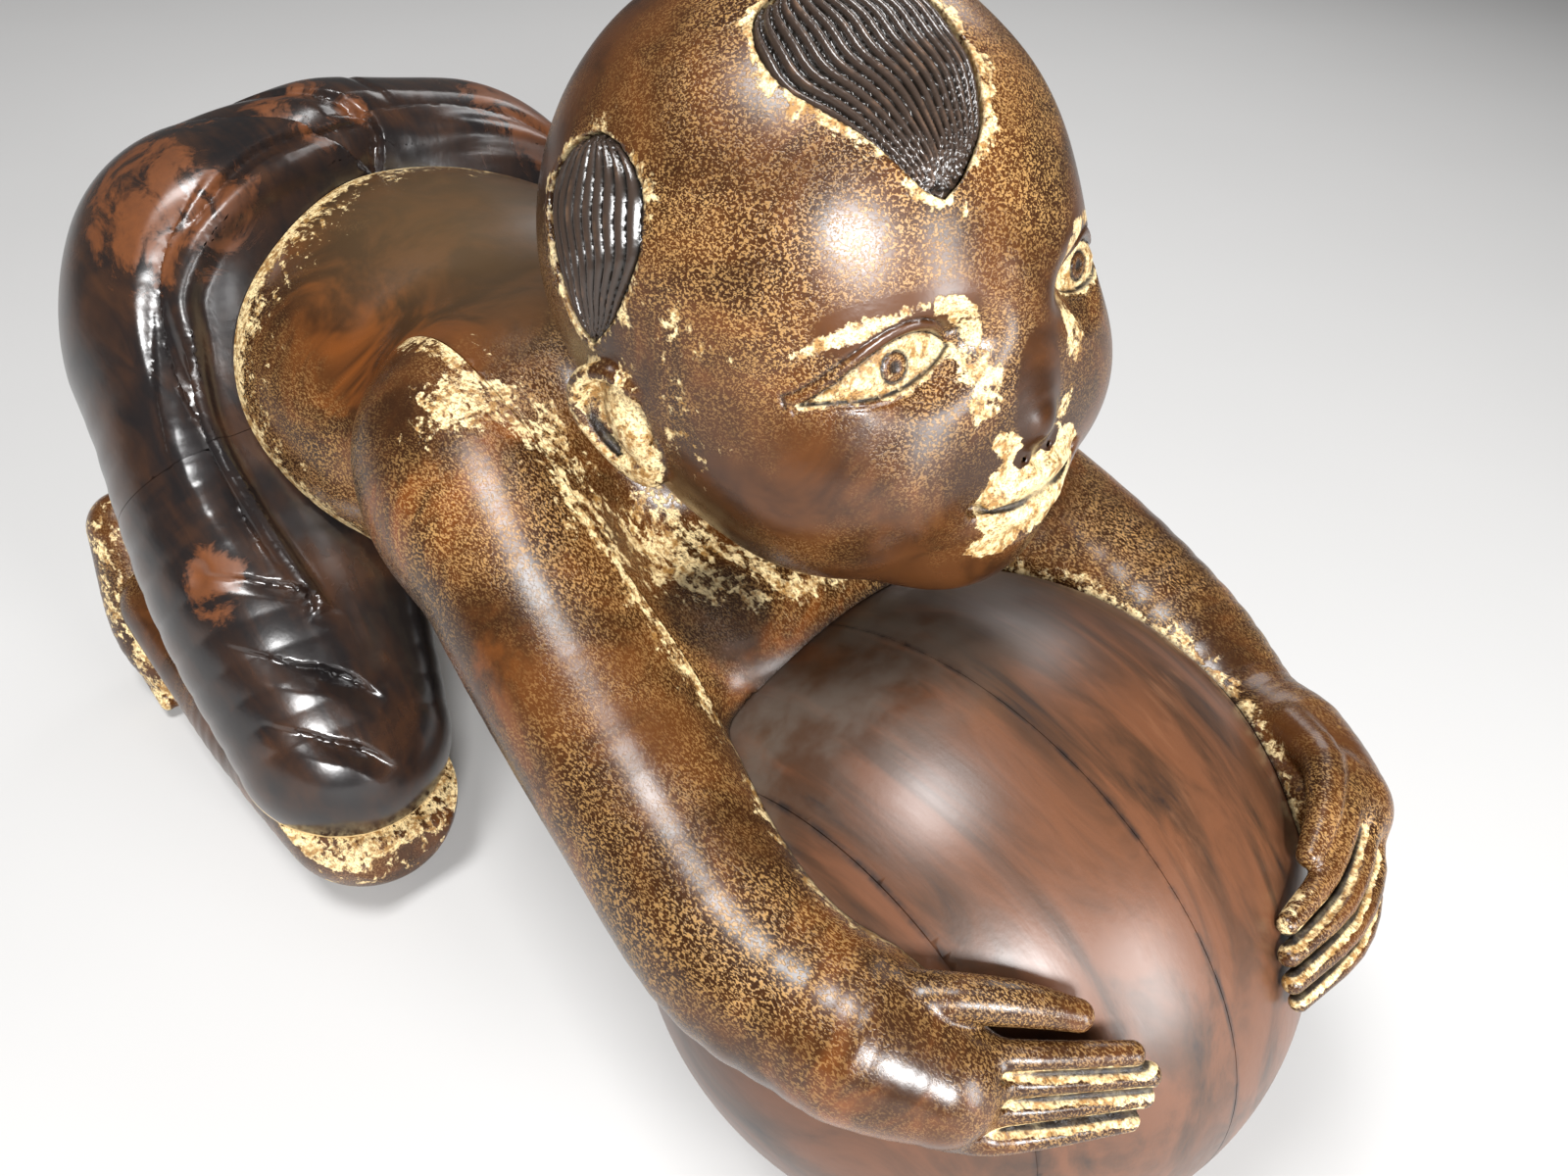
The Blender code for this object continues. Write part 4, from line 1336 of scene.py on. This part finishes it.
studio = {
    "floor": rgb(0.49, 0.485, 0.48),
    "floorSize": 16.0,
    "key": ((-1.55, -2.4, 1.70), (0.0, -0.15, 0.35), (0.75, 0.75), 150),
    "front": ((0.15, -2.9, 1.05), (0.0, -0.15, 0.30), (0.8, 1.6), 75),
    "fill": ((-0.9, 0.2, 3.2), (0.0, -0.05, 0.3), (1.0, 1.0), 95),
    "rim": ((2.3, 1.2, 2.2), (0.0, 0.1, 0.3), (1.6, 1.6), 30),
    "air": 0.09,
    "lens": 28.0,
    "azimuth": -48.287,
    "elevation": 39.727,
    "roll": 6.06,
    "distance": 0.6984,
    "target": (0.0252, -0.063, 0.2331),
}


def makeStudio():
    floor = bpy.data.meshes.new("floor")
    half = studio["floorSize"] / 2
    floor.from_pydata(
        [(-half, -half, 0), (half, -half, 0), (half, half, 0), (-half, half, 0)], [], [(0, 1, 2, 3)],
    )
    sheet = bpy.data.objects.new("floor", floor)
    bpy.context.scene.collection.objects.link(sheet)
    material, tree, shader, start, spot = newMaterial("floorPaint")
    tint = spot.noise(3, 3, 0.5).mix(studio["floor"], rgb(0.51, 0.505, 0.50))
    plug(tree, shader, Base_Color=tint, Roughness=0.7)
    floor.materials.append(material)
    for name in ("key", "front", "fill", "rim"):
        spotAt, aim, size, power = studio[name]
        lamp = bpy.data.lights.new(name, "AREA")
        lamp.shape = "RECTANGLE"
        lamp.size, lamp.size_y = size
        lamp.energy = power
        holder = bpy.data.objects.new(name, lamp)
        holder.location = spotAt
        holder.rotation_euler = (Vector(aim) - Vector(spotAt)).to_track_quat("-Z", "Y").to_euler()
        bpy.context.scene.collection.objects.link(holder)
    world = bpy.data.worlds.new("room")
    world.use_nodes = True
    world.node_tree.nodes["Background"].inputs["Color"].default_value = rgb(1, 1, 1)
    world.node_tree.nodes["Background"].inputs["Strength"].default_value = studio["air"]
    bpy.context.scene.world = world
    bpy.context.scene.view_settings.view_transform = "Standard"


def makeCamera():
    turn, lift, roll = (math.radians(studio[key]) for key in ("azimuth", "elevation", "roll"))
    back = Vector((math.sin(turn) * math.cos(lift), -math.cos(turn) * math.cos(lift), math.sin(lift)))
    right = (-back).cross(Vector((0, 0, 1))).normalized()
    up = right.cross(-back)
    rightRolled = right * math.cos(roll) + up * math.sin(roll)
    upRolled = -right * math.sin(roll) + up * math.cos(roll)
    lens = bpy.data.cameras.new("camera")
    lens.lens = studio["lens"]
    lens.sensor_width = 36
    holder = bpy.data.objects.new("camera", lens)
    turned = Matrix((rightRolled, upRolled, back)).transposed().to_4x4()
    turned.translation = Vector(studio["target"]) + back * studio["distance"] + Vector(carving["toMiddle"])
    holder.matrix_world = turned
    bpy.context.scene.collection.objects.link(holder)
    bpy.context.scene.camera = holder


makeStudio()
makeCamera()
print("studio made")

bpy.context.view_layer.update()
